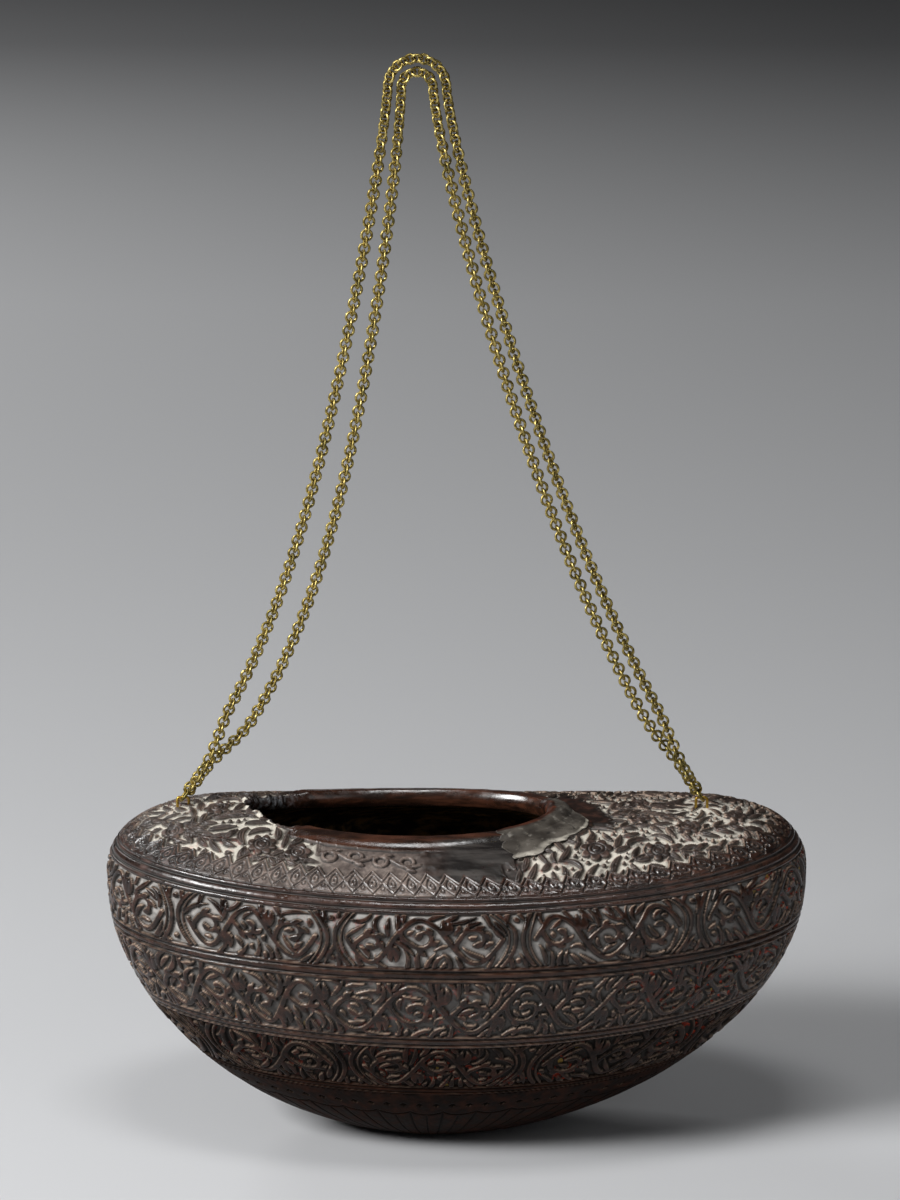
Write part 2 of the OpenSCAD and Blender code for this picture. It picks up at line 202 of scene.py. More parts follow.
class Field:
    """A flat area, in mm. Values are positive inside a stroke and negative outside."""

    def __init__(self, low_corner, high_corner, wrap=False):
        self.low = np.array(low_corner, float)
        self.high = np.array(high_corner, float)
        self.wrap = wrap
        self.pad = PAD if wrap else 0.0
        size = self.high - self.low
        self.nx = int(round((size[0] + 2 * self.pad) * PX))
        self.ny = int(round(size[1] * PX))
        self.f = np.full((self.ny, self.nx), -REACH, np.float32)
        self.cx = self.low[0] - self.pad + (np.arange(self.nx) + 0.5) / PX
        self.cy = self.low[1] + (np.arange(self.ny) + 0.5) / PX

    def segment(self, p, q, rp, rq):
        m = max(rp, rq) + REACH
        x0 = max(0, int((min(p[0], q[0]) - m - self.cx[0]) * PX))
        x1 = min(self.nx, int((max(p[0], q[0]) + m - self.cx[0]) * PX) + 2)
        y0 = max(0, int((min(p[1], q[1]) - m - self.cy[0]) * PX))
        y1 = min(self.ny, int((max(p[1], q[1]) + m - self.cy[0]) * PX) + 2)
        if x0 >= x1 or y0 >= y1:
            return
        x = self.cx[None, x0:x1] - p[0]
        y = self.cy[y0:y1, None] - p[1]
        dx, dy = q[0] - p[0], q[1] - p[1]
        t = np.clip((x * dx + y * dy) / (dx * dx + dy * dy + 1e-9), 0, 1)
        d = rp + (rq - rp) * t - np.hypot(x - t * dx, y - t * dy)
        part = self.f[y0:y1, x0:x1]
        np.maximum(part, d.astype(np.float32), out=part)

    def stroke(self, pts, r):
        pts = np.asarray(pts, float)
        r = np.broadcast_to(np.asarray(r, float), (len(pts),))
        for i in range(len(pts) - 1):
            self.segment(pts[i], pts[i + 1], r[i], r[i + 1])

    def dot(self, p, r):
        self.segment(p, (p[0] + 0.01, p[1]), r, r)

    def leaf(self, p, angle, length, width, curl, n=7):
        """A pointed leaf from p, bending by curl over its length."""
        k = np.linspace(0, 1, n)
        self.stroke(bow(p, angle, length, curl, n), 0.12 + width / 2 * np.sin(np.pi * k ** 0.8) ** 0.8)

    def emptiest(self, keep, least):
        """The place in the area keep that lies farthest from any stroke."""
        f = np.where(keep, self.f, 9.0)
        i = int(np.argmin(f))
        y, x = divmod(i, self.nx)
        if f[y, x] > -least:
            return None
        return self.cx[x], self.cy[y], -float(f[y, x])

    def fold(self):
        """Brings the padding of a field that closes on itself back into it."""
        n = int(round(self.pad * PX))
        left, right = self.f[:, :n].copy(), self.f[:, -n:].copy()
        np.maximum(self.f[:, -2 * n:-n], left, out=self.f[:, -2 * n:-n])
        np.maximum(self.f[:, n:2 * n], right, out=self.f[:, n:2 * n])
        self.f[:, :n] = self.f[:, -2 * n:-n]
        self.f[:, -n:] = self.f[:, n:2 * n]

    def at(self, x, y):
        """The field at many places, read between its points."""
        if self.wrap:
            x = self.low[0] + (x - self.low[0]) % (self.high[0] - self.low[0])
        fx = np.clip((x - self.cx[0]) * PX, 0, self.nx - 1.001)
        fy = np.clip((y - self.cy[0]) * PX, 0, self.ny - 1.001)
        ix, iy = fx.astype(int), fy.astype(int)
        kx, ky = fx - ix, fy - iy
        f = self.f
        return (mix(mix(f[iy, ix], f[iy, ix + 1], kx), mix(f[iy + 1, ix], f[iy + 1, ix + 1], kx), ky))


def bow(p, angle, length, curl, n):
    """Points of a curve that leaves p at an angle and bends by curl over its length."""
    a = angle + curl * np.linspace(0, 1, n)
    step = length / (n - 1)
    x = p[0] + np.concatenate([[0], np.cumsum(np.cos(a[:-1]) * step)])
    y = p[1] + np.concatenate([[0], np.cumsum(np.sin(a[:-1]) * step)])
    return np.stack([x, y], 1)


def around(p, r, a):
    """Points at distances r and angles a from p."""
    return np.stack([p[0] + r * np.cos(a), p[1] + r * np.sin(a)], 1)


def heading(pts, i, j):
    """Angle of the way from point i to point j."""
    return math.atan2(pts[j][1] - pts[i][1], pts[j][0] - pts[i][0])


# Half thickness of a vine's stem, in mm
STEM = 1.2


def vine(field, u0, u1, height, rng, wave):
    """A scrolling vine: a wavy stem with a curled tendril, leaves and a split leaf in every hollow."""
    count = max(1, int(round((u1 - u0) / wave * 2)))
    cut = np.cumsum(rng.uniform(0.82, 1.18, count))
    cut = np.concatenate([[0], cut / cut[-1]]) * (u1 - u0) + u0
    mid, amp = height / 2, height * 0.5 - STEM - 0.9
    side = 1 if rng.random() < 0.5 else -1
    us, vs = [], []
    for i in range(count):
        k = np.linspace(0, 1, 15)[(0 if i == 0 else 1):]
        us.append(mix(cut[i], cut[i + 1], k))
        s = side if i % 2 == 0 else -side
        vs.append(mid + s * amp * np.sin(np.pi * k))
    u, v = np.concatenate(us), np.concatenate(vs)
    field.stroke(np.stack([u, v], 1), STEM)
    for i in range(count):
        half = cut[i + 1] - cut[i]
        s = side if i % 2 == 0 else -side
        k = min(max(i * 14 + 2, 1), len(u) - 2)
        radius = min(half * 0.36, height * 0.28) * rng.uniform(0.75, 1.15)
        hub = (cut[i] + half * 0.54, mid + s * (amp - radius - 2.4 * STEM))
        turns = rng.uniform(0.5, 0.85)
        a0 = math.atan2(v[k] - hub[1], u[k] - hub[0])
        far = math.hypot(v[k] - hub[1], u[k] - hub[0])
        kk = np.linspace(0, 1, 30)
        rr = np.where(kk < 0.2, far + (radius - far) * ease(kk / 0.2), radius * (1 - 0.7 * (kk - 0.2) / 0.8))
        aa = a0 + s * 2 * math.pi * turns * kk
        pts = around(hub, rr, aa)
        field.stroke(pts, np.linspace(STEM, 0.8 * STEM, len(pts)))
        field.leaf(pts[-1], heading(pts, -2, -1), radius * 0.7, 3.0, s * 1.4)
        for j in (8, 14, 20):
            d = heading(pts, j - 1, j + 1)
            field.leaf(pts[j], d - s * rng.uniform(0.5, 0.9), rng.uniform(4.0, 5.6), 2.6,
                       s * rng.uniform(0.3, 1.0))
        c = cut[i + 1]
        if u0 + 3 < c < u1 - 3:
            base = (c + rng.uniform(-0.6, 0.6), mid + s * height * 0.1)
            for w in (-1, 1):
                field.leaf(base, s * (math.pi / 2 + 0.5 * w), height * 0.34, 3.0, -s * w * 1.0)


# Longest leaf that fills an empty place, in mm, and how many are tried there
LONGEST, TRIES = 15.0, 26


def fill(field, keep, rng, least, width, shortest, most, grooves=None):
    """Curled leaves in what is still empty, the widest places first; with grooves, veins and bosses too."""
    leaf_room, leaf_gain = (1.45, 0.4) if grooves is None else (1.8, 2.2)
    for _ in range(most):
        hit = field.emptiest(keep, least)
        if hit is None:
            break
        x, y, room = hit
        best, gain = None, -1.0
        if room > leaf_room:
            for _ in range(TRIES):
                a, curl = rng.uniform(0, 2 * math.pi), rng.uniform(-2.4, 2.4)
                length = rng.uniform(shortest, LONGEST)
                back = bow((x, y), a + math.pi, length * 0.4, -0.4 * curl, 3)[-1]
                pts = bow(back, a - 0.4 * curl, length, curl, 8)
                near = field.at(pts[:, 0], pts[:, 1])
                crowd = np.maximum(0.0, near[1:] + width * 0.5 + 0.55).sum()
                score = length - 2.2 * crowd - 1.2 * max(0.0, near[0])
                if score > gain:
                    best, gain = (back, a - 0.4 * curl, length, curl), score
        if best is not None and gain > leaf_gain:
            field.leaf(*best[:3], width * rng.uniform(0.85, 1.1), best[3], 9)
            if grooves is not None:
                veins(grooves, *best)
        elif grooves is not None:
            field.dot((x, y), min(max(room - 0.7, 0.65), 1.3))
        else:
            keep[(field.cx[None, :] - x) ** 2 + (field.cy[:, None] - y) ** 2 < room ** 2] = False


# Reach of a panel's ends, and the gap between them and the vine, in mm
BRACKET_REACH, VINE_GAP = 14, 6.8


def brackets(field, u, height):
    """The facing ends of two panels, with a small boss above and below."""
    k = np.linspace(-1, 1, 15)
    v = height / 2 + k * height / 2
    bulge = 5.6 * k ** 2
    for s in (-1, 1):
        field.stroke(np.stack([u + s * (1.5 + bulge), v], 1), 1.0)
        field.stroke(np.stack([u + s * (4.2 + bulge), v], 1), 0.55)
        field.dot((u, height / 2 + s * (height / 2 - 2.9)), 1.4)


def band_field(length, height, joints, seed, wave):
    """A band of ornament: long panels with rounded ends, or one running vine where there are no joints."""
    rng = np.random.default_rng(seed)
    field = Field((0, 0), (length, height), True)
    js = sorted(j % length for j in joints)
    for i, j in enumerate(js):
        nxt = js[i + 1] if i + 1 < len(js) else js[0] + length
        for shift in (-length, 0, length):
            if -BRACKET_REACH < j + shift < length + BRACKET_REACH:
                brackets(field, j + shift, height)
        a, b = j + VINE_GAP, nxt - VINE_GAP
        state = rng.bit_generator.state
        vine(field, a, b, height, rng, wave)
        if b > length:
            rng.bit_generator.state = state
            vine(field, a - length, b - length, height, rng, wave)
    if not js:
        vine(field, 0, length, height, rng, length / (2 * round(length / wave)) * 2)
    field.fold()
    keep = np.zeros(field.f.shape, bool)
    n = int(PAD * PX)
    keep[5:-5, n:-n] = True
    fill(field, keep, rng, 1.3, 2.1, 2.6, 1200)
    field.fold()
    return field


def rosette(field, grooves, p, r, petals, turn):
    """A round flower with a cut ring and a boss in the middle."""
    field.dot(p, 0.62 * r)
    for i in range(petals):
        a = turn + 2 * math.pi * i / petals
        root = (p[0] + 0.45 * r * math.cos(a), p[1] + 0.45 * r * math.sin(a))
        field.leaf(root, a, 0.62 * r, 2 * math.pi * r / petals * 0.86, 0.0)
    ring = np.linspace(0, 2 * math.pi, 25)
    for k in (0.3, 0.58):
        grooves.stroke(around(p, k * r, ring), 0.3)


def veins(grooves, p, angle, length, curl):
    """The cut lines along a leaf."""
    pts = bow(p, angle, length * 0.86, curl * 0.86, 8)
    d = np.gradient(pts, axis=0)
    side = np.stack([-d[:, 1], d[:, 0]], 1) / np.maximum(np.linalg.norm(d, axis=1), 1e-6)[:, None]
    swell = np.sin(np.pi * np.linspace(0, 1, 8))[:, None]
    for k in (-0.62, 0.62):
        grooves.stroke((pts + k * swell * side)[1:], 0.2)


def spray(field, grooves, pts, rng, every, length, width):
    """Leaves in pairs along a stem."""
    for i in range(1, len(pts) - 1, every):
        d = heading(pts, i - 1, i + 1)
        for s in (-1, 1):
            angle, long = d + s * rng.uniform(0.6, 0.95), length * rng.uniform(0.8, 1.15)
            curl = -s * rng.uniform(0.2, 0.9)
            field.leaf(pts[i], angle, long, width, curl, 9)
            veins(grooves, pts[i], angle, long, curl)


def wave_line(p, q, amp, waves, n):
    """Points of a wavy stem from p to q."""
    p, q = np.array(p, float), np.array(q, float)
    k = np.linspace(0, 1, n)[:, None]
    d = (q - p) / np.linalg.norm(q - p)
    return p + (q - p) * k + np.array([-d[1], d[0]]) * amp * np.sin(2 * math.pi * waves * k)


def roof_fields(corners, flat_of, strip_mid, keep_of):
    """Flowers, leaves and stems on the bowl's shoulders, unrolled from the mouth, with their cut veins."""
    rng = np.random.default_rng(21)
    field, grooves, scroll = Field(*corners), Field(*corners), Field(*corners)
    flowers = []
    for f in (1, -1):
        flowers += [((-81, f * -34), 5.9, 8), ((-66, f * -39), 5.0, 6), ((-101, f * -8), 5.0, 7),
                    ((-119, f * -21), 4.8, 6), ((58, f * -37), 6.2, 7), ((97, f * -21), 5.2, 8),
                    ((77, f * -10), 4.6, 6), ((118, f * -10), 4.8, 7), ((84, f * -38), 4.6, 6)]
        stems = [((-136, f * -8), (-92, f * -30), 4.0, 1.0), ((-128, f * -27), (-84, f * -12), -3.5, 1.0),
                 ((-92, f * -42), (-62, f * -40), 2.5, 1.0), ((66, f * -20), (128, f * -22), 3.6, 1.5),
                 ((72, f * -44), (118, f * -32), 2.6, 1.0), ((64, f * -4), (96, f * -8), 2.5, 1.0)]
        for p, q, amp, waves in stems:
            pts = wave_line(flat_of(p), flat_of(q), amp, waves, 29)
            field.stroke(pts, 0.75)
            spray(field, grooves, pts, rng, 3, 9.5, 3.1)
        # the scroll beside the mouth's front and back edges
        pts = wave_line(strip_mid(-58, f), strip_mid(-15, f), 2.2, 2.0, 41)
        scroll.stroke(pts, 0.85)
        for i in (5, 15, 25, 35):
            d = heading(pts, i - 1, i + 1)
            s = 1 if (i // 10) % 2 else -1
            curl = bow(pts[i], d + s * 0.2, 15.0, s * 5.4, 18)
            scroll.stroke(curl, np.linspace(0.85, 0.7, 18))
            scroll.dot(curl[-1], 0.95)
            scroll.leaf(pts[i], d - s * 0.7, 5.0, 2.0, s * 0.8)
    for p, r, petals in flowers:
        p = flat_of(p)
        hole = np.hypot(field.cx[None, :] - p[0], field.cy[:, None] - p[1]) < r + 0.9
        field.f[hole] = np.minimum(field.f[hole], -1.0)
        grooves.f[hole] = -REACH
        rosette(field, grooves, p, r, petals, rng.uniform(0, 1))
    fill(field, keep_of(field), rng, 1.45, 3.2, 4.0, 2600, grooves)
    return field, grooves, scroll


def value_noise(x, y, cell, seed, wrap=0):
    """Smooth random values from 0 to 1 over a plane."""
    rng = np.random.default_rng(seed)
    table = rng.random((256, 256))
    gx, gy = np.asarray(x) / cell, np.asarray(y) / cell
    ix, iy = np.floor(gx).astype(int), np.floor(gy).astype(int)
    kx, ky = ease(gx - ix), ease(gy - iy)
    jx = ix + 1
    if wrap:
        ix, jx = ix % wrap, jx % wrap
    get = lambda a, b: table[b % 256, a % 256]
    return mix(mix(get(ix, iy), get(jx, iy), kx), mix(get(ix, iy + 1), get(jx, iy + 1), kx), ky)


def noise_along(x, cell, seed):
    """Smooth random values from 0 to 1 along a line."""
    return value_noise(x, 0 * x, cell, seed)


# Columns stand at equal lengths round the belly, from the back
def column_angles(n):
    t = np.linspace(0, 2 * np.pi, 20001) + np.pi / 2
    x, y = belly(t)
    s = np.concatenate([[0], np.cumsum(np.hypot(np.diff(x), np.diff(y)))])
    return np.interp(np.arange(n) / n * s[-1], s, t), s, t


TH, ARC_S, ARC_T = column_angles(COLS)
GIRTH = ARC_S[-1]


def share_at(deg):
    """Share of the way round the belly at an angle, counted from the back."""
    t = math.radians(deg)
    while t < np.pi / 2:
        t += 2 * np.pi
    return float(np.interp(t, ARC_T, ARC_S) / GIRTH)


def chip_mask(th):
    """Where the rim is broken: round the mouth's left end."""
    d = np.degrees(th % (2 * np.pi) - np.pi)
    return ease((58 - np.abs(d - 1)) / 12)


CHIP = chip_mask(TH)

# Depth of the breaks along the rim, in mm
jag = np.floor(5 * noise_along(np.degrees(TH), 5.0, 61) + 2.4 * noise_along(np.degrees(TH), 1.9, 62)) / 5
jag = np.convolve(np.concatenate([jag[-2:], jag, jag[:2]]), np.ones(5) / 5, "valid")
BROKEN = CHIP * (0.2 + 3.0 * jag)


# The outer skin at equal steps along each column
def outer_grid():
    q = np.concatenate([np.linspace(0, 1, LOW_STEPS), np.linspace(1, 3, HIGH_STEPS)[1:]])
    pts = np.empty((ROWS, COLS, 3))
    qs, arc = np.empty((ROWS, COLS)), np.empty((ROWS, COLS))
    for i, th in enumerate(TH):
        p = skin(np.full_like(q, th), q)
        s = np.concatenate([[0], np.cumsum(np.linalg.norm(np.diff(p, axis=0), axis=1))])
        at_belly = s[LOW_STEPS - 1]
        want = np.concatenate([np.linspace(0, at_belly, LOW_ROWS + 1)[:-1],
                               np.linspace(at_belly, s[-1] - BROKEN[i], ROOF_ROWS)])
        for k in range(3):
            pts[:, i, k] = np.interp(want, s, p[:, k])
        qs[:, i] = np.interp(want, s, q)
        arc[:, i] = want - at_belly
    return pts, qs, arc


SKIN, SKIN_Q, ARC = outer_grid()


def grid_normals(p):
    du = np.roll(p, -1, axis=1) - np.roll(p, 1, axis=1)
    dv = np.empty_like(p)
    dv[1:-1] = p[2:] - p[:-2]
    dv[0], dv[-1] = p[1] - p[0], p[-1] - p[-2]
    return unit(np.cross(du, dv))


SKIN_N = grid_normals(SKIN)

# Rings: height at the long sides, rise at the left and right ends, half width, lift along the skin, all in mm
RINGS = [(124.6, 4.0, 7.0, 4.5, 1.4), (97.3, 2.0, 3.0, 3.7, -1.5), (64.6, 3.0, 7.0, 3.4, -1.3),
         (37.6, 2.0, 5.0, 2.8, -0.8)]


def ring_arc(ring):
    """Place of a ring's middle along every column."""
    z = ring[0] + np.where(np.cos(TH) < 0, ring[1], ring[2]) * np.cos(TH) ** 2
    return np.array([np.interp(z[i], np.maximum.accumulate(SKIN[:, i, 2]), ARC[:, i]) for i in range(COLS)])


RING_ARC = [ring_arc(r) + r[4] for r in RINGS]
RING_TOP = [a + r[3] for a, r in zip(RING_ARC, RINGS)]
RING_LOW = [a - r[3] for a, r in zip(RING_ARC, RINGS)]
SHARE = np.broadcast_to(np.arange(COLS) / COLS, (ROWS, COLS))


def ring_profile(w, half):
    """A moulding of one broad and two narrow rounded beads, from 0 in the ground to 1 on top."""
    h = 0.15 * ease((half - np.abs(w)) / 0.4)
    for mid, wide in ((0.0, 0.43 * half), (0.73 * half, 0.26 * half), (-0.73 * half, 0.26 * half)):
        t = np.abs(w - mid) / wide
        h = np.maximum(h, 0.4 * ease((1 - t) / 0.4) + 0.6 * np.sqrt(np.maximum(0.0, 1 - t * t)))
    return h


def relief_of(f):
    """Height of a carved stroke from its field: steep sides and a rounded top."""
    dome = np.sqrt(np.maximum(0.0, 1 - (1 - np.clip(f / 1.05, 0, 1)) ** 2))
    return ease((f + 0.25) / 0.5) * (0.7 + 0.3 * dome)


# Bands: ring above, ring below, angles of the panels' joints in degrees, seed, length of a wave in mm
BANDS = [(0, 1, [-142, -110.2, -80, -48.5], 5, 37.0), (1, 2, [], 9, 44.0),
         (2, 3, [-147, -110.8, -74.5, -33], 13, 39.0)]


def band_relief(up, down, joints, seed, wave):
    """Where the band between two rings lies, and the height of its carving."""
    top, foot = RING_LOW[up], RING_TOP[down]
    level = int(np.argmin(np.abs(SKIN[:, COLS // 2, 2] - (RINGS[up][0] + RINGS[down][0]) / 2)))
    row = SKIN[level]
    length = float(np.linalg.norm(np.roll(row, -1, axis=0) - row, axis=1).sum())
    js = [share_at(d) * length for d in joints]
    if js:
        # the panels at the back are about as long as those in front
        first, last = js[0] + length, js[-1]
        n = max(1, int(round((first - last) / ((last - js[0]) / (len(js) - 1)))))
        js += [last + (first - last) * i / n for i in range(1, n)]
    field = band_field(round(length * PX) / PX, round(np.mean(top - foot) * PX) / PX, js, seed, wave)
    wide, high = field.high - field.low
    f = field.at(SHARE * wide, (ARC - foot) / (top - foot) * high)
    return (ARC < top) & (ARC >= foot), relief_of(f)


def foot_relief():
    """The lower part: a plain field with a row of small bosses, and lobed petals round the foot."""
    down = RING_LOW[3] - ARC
    boss = np.abs(((SHARE * BOSSES) % 1 - 0.5) * 6.6) + np.abs(down - 8.0)
    plain = 0.92 - 0.75 * ease((1.7 - boss) / 0.6)
    u = (SHARE * LOBES) % 1 - 0.5
    lobe = 13.5 + 2.6 * np.abs(np.sin(np.pi * (u + 0.5))) ** 0.7
    plain -= 0.35 * ease((0.6 - np.abs(down - lobe)) / 0.5)
    rib = ease((0.7 - np.abs(np.abs(u) - 0.5) * 12) / 0.6) + ease((0.55 - np.abs(u) * 12) / 0.5)
    return plain - 0.3 * rib * ease((down - lobe - 0.5) / 1.0)


# Heights of uncarved places: the bare strips, round the lip's tip, and the band at the rim
BARE_H, SMOOTH_H, RIM_H = 0.93, 0.9, 0.97


def carve():
    """Height, depth, zone, bare places and the scroll's strip for every place of the outer skin."""
    shape = (ROWS, COLS)
    height = np.zeros(shape)
    depth_scale = np.full(shape, DEPTH_BAND)
    zone = np.zeros(shape, int)
    for k, band in enumerate(BANDS):
        inside, relief = band_relief(*band)
        height = np.where(inside, relief, height)
        zone[inside] = k + 1
    for k, ring in enumerate(RINGS):
        inside = (ARC >= RING_LOW[k]) & (ARC < RING_TOP[k])
        height = np.where(inside, ring_profile(ARC - RING_ARC[k], ring[3]), height)
        zone[inside] = Z_RING + k
    inside = ARC < RING_LOW[3]
    height = np.where(inside, foot_relief(), height)
    zone[inside] = Z_LOW
    above = ARC - RING_TOP[0]
    border = Border(above)
    # flowers on the shoulders; where the rim is broken they run on to the break
    x, y = SKIN[..., 0], SKIN[..., 1]
    chip = np.broadcast_to(CHIP, shape)
    roof_zone = (above >= border.top) & ((SKIN_Q < 2.0) | (chip > 0.5))
    along = np.abs(y) > 25
    drift = 9 * value_noise(x, y, 7.0, 71) + 4 * value_noise(x, y, 2.5, 72)
    plain_side = ease((x + 24 - drift) / 12) * ease((36 - x - drift) / 10) * along
    strip = ease((x + 62) / 8) * ease((-6 - x) / 12) * along
    flat = unrolled()

    def flat_of(p):
        far = np.where(roof_zone, (x - p[0]) ** 2 + (y - p[1]) ** 2, 1e9)
        i = np.unravel_index(int(np.argmin(far)), shape)
        return float(flat[0][i]), float(flat[1][i])

    def keep_of(field):
        keep = np.zeros(field.f.shape, bool)
        sel = roof_zone & ((SKIN_Q < 1.95) | (chip > 0.5)) & (above > border.top + 1.5)
        sel &= (plain_side < 0.4) & (strip < 0.5)
        ix = np.clip(((flat[0][sel] - field.cx[0]) * PX).astype(int), 2, field.nx - 3)
        iy = np.clip(((flat[1][sel] - field.cy[0]) * PX).astype(int), 2, field.ny - 3)
        for dx in (-2, -1, 0, 1, 2):
            for dy in (-2, -1, 0, 1, 2):
                keep[iy + dy, ix + dx] = True
        return keep

    def strip_mid(at_x, side):
        """Flat place halfway between the border and the mouth's band, in front or at the back."""
        sel = roof_zone & (SKIN_Q < 2.0) & (y * side < 0) & (np.abs(x - at_x) < 1.0)
        return float(flat[0][sel].mean()), float(flat[1][sel].mean())

    corners = [[float(a[roof_zone].min()) - 3 for a in flat], [float(a[roof_zone].max()) + 3 for a in flat]]
    field, grooves, scroll = roof_fields(corners, flat_of, strip_mid, keep_of)
    f = field.at(*flat)
    flower = relief_of(f - 0.32) - 0.34 * ease((grooves.at(*flat) + 0.22) / 0.4) * (f > 0)
    flower *= ease((above - border.top - 0.9) / 0.7)
    curls = 0.2 + 0.8 * relief_of(scroll.at(*flat))
    flower = mix(flower, curls, strip)
    # the front and back strips are left plain towards the right
    flower = mix(flower, BARE_H, plain_side)
    # round the mended lip's tip the shell is smooth
    deg = np.degrees((np.broadcast_to(TH, shape) + np.pi) % (2 * np.pi) - np.pi)
    smooth = ease((SKIN_Q - 1.9) / 0.05) * ease((deg + 34) / 12) * ease((50 - deg) / 10)
    flower = mix(flower, SMOOTH_H, smooth)
    plain_side = np.maximum(plain_side, smooth)
    rim = SKIN_Q >= 2.0
    on_roof = (above >= 0) & (~rim | (chip > 0))
    upper = mix(flower, RIM_H, np.where(rim, 1 - chip, 0.0))
    k = ease((above - border.top + 0.25) / 0.5)
    height = np.where(on_roof, mix(border.height, upper, k), height)
    zone[above >= 0] = Z_ROOF
    zone[(above >= 0) & (above < border.top)] = Z_BORDER
    height = np.where(rim & (chip <= 0), RIM_H, height)
    zone[rim & (chip < 0.5)] = Z_RIM
    depth_scale[zone == Z_ROOF] = DEPTH_ROOF
    return height, depth_scale, zone, plain_side, strip


def unrolled():
    """Flat places of the shoulders: each column runs straight out from the mouth's band, at its length."""
    at_band = np.array([np.interp(2.0, SKIN_Q[:, i], ARC[:, i]) for i in range(COLS)])
    edge = skin(TH, np.full_like(TH, 2.0))[:, :2]
    out = unit(np.stack(belly(TH), -1) - edge)
    far = at_band[None, :] - ARC
    return edge[None, :, 0] + out[None, :, 0] * far, edge[None, :, 1] + out[None, :, 1] * far


class Border:
    """A row of pointed petals above the first ring, each with a drop cut in it."""

    def __init__(self, above):
        # the petals stand taller at the front left
        tall = 1.06 + 0.16 * ease(1.4 - ((SKIN[..., 0] + 45) / 55) ** 2) * (SKIN[..., 1] < 0)
        above = above / tall + FOOT_GAP
        u = ((SHARE * PETALS) % 1 - 0.5) * 2
        t = np.abs(u)
        pitch = GIRTH / PETALS
        x = u * pitch / 2
        arch = 8.2 + 4.3 * (1 - t) ** 1.1
        foot = 1.6 + 4.4 * t
        lean = 1.8 - 0.5 * np.clip((above - 6.4) / 2.0, -1, 1)
        drop = np.hypot(x / lean, (above - 6.4) / 2.3)
        side = np.hypot(pitch / 2 - np.abs(x), above - 4.2)
        line = lambda d, w: ease((w - np.abs(d)) / (0.55 * w))
        cuts = [line(above - (arch - 1.4), 0.5), line(above - foot, 0.45), line((drop - 1) * 1.5, 0.45),
                ease((0.75 - np.hypot(x, above - 6.2)) / 0.4), line(side - 0.9, 0.42)]
        self.top = (arch - FOOT_GAP) * tall
        self.height = 0.98 - 0.5 * np.max(cuts, axis=0)


HEIGHT, DEPTH, ZONE, PLAIN, STRIP = carve()


def wear():
    """How deep every outer place lies below the skin, with wear and breaks."""
    u = SHARE * GIRTH
    v = ARC
    x, y = SKIN[..., 0], SKIN[..., 1]
    soft = value_noise(u, v, 9.0, 3, int(GIRTH / 9.0))
    fine = value_noise(u, v, 1.7, 4, int(GIRTH / 1.7))
    d = (1 - HEIGHT) * DEPTH
    d *= mix(0.82, 1.08, soft)
    d += 0.1 * (fine - 0.2) * np.where(ZONE == Z_RIM, 0.2, 1.0) + 0.18 * soft
    # the lower bands are more worn and shallower, and the widest part is rubbed down
    d *= mix(0.78, 1.0, ease((SKIN[..., 2] - 25) / 70))
    d += 0.85 * ease(1 - np.abs(SKIN[..., 2] - BELLY_H) / 30)
    # the raised band at the broken end is gone, and the edge is left in steps
    d += CHIP * BAND_H * ease((SKIN_Q - 2.0) / 0.45)
    step = np.floor(3.4 * value_noise(x, y, 4.4, 11) + 1.8 * value_noise(x, y, 1.9, 12)) / 3.0
    d = mix(d, 0.9 + 1.5 * step, CHIP * ease((SKIN_Q - 2.5) / 0.25))
    for at_x in STAPLES_X:
        d = np.maximum(d, RUB_DEPTH * ease((RUB_REACH - np.hypot(x - at_x, y)) / 5))
    return np.maximum(d, 0.02)


WEAR = wear()


def painted_edge_light_of(height):
    """Painted highlight on edges that face up, and painted shade in the corners under the strokes where
    shadow falls, both from 0 to 1.
    """
    mean = np.zeros_like(height)
    for dr in (-2, -1, 0, 1, 2):
        row = height[np.clip(np.arange(ROWS) + dr, 0, ROWS - 1)]
        for dc in (-2, -1, 0, 1, 2):
            mean += np.roll(row, dc, axis=1) / 25
    bend = height - mean
    lean = -np.gradient(height, axis=0) / 0.25
    up_edge_highlight = ease((bend - 0.1) / 0.24) * mix(0.12, 1.0, ease(lean))
    corner = ease(-bend / 0.24) * mix(0.45, 1.0, ease(-lean))
    return up_edge_highlight, corner


# painted light: a pale highlight on edges that face up, and painted shade in the corners under the strokes,
# made stronger in the scroll's strip
PAINTED_EDGE_HIGHLIGHT, PAINTED_CORNER_SHADE = painted_edge_light_of(HEIGHT)
PAINTED_CORNER_SHADE = np.minimum(1.0, PAINTED_CORNER_SHADE * np.where(ZONE == Z_ROOF, 1 + 0.9 * STRIP, 1.0))

# How far the rounded rim bulges, as a share of the wall, and the extra wall at the back of the mouth, in mm
RIM_BULGE, BACK_WALL = 0.38, 3.4


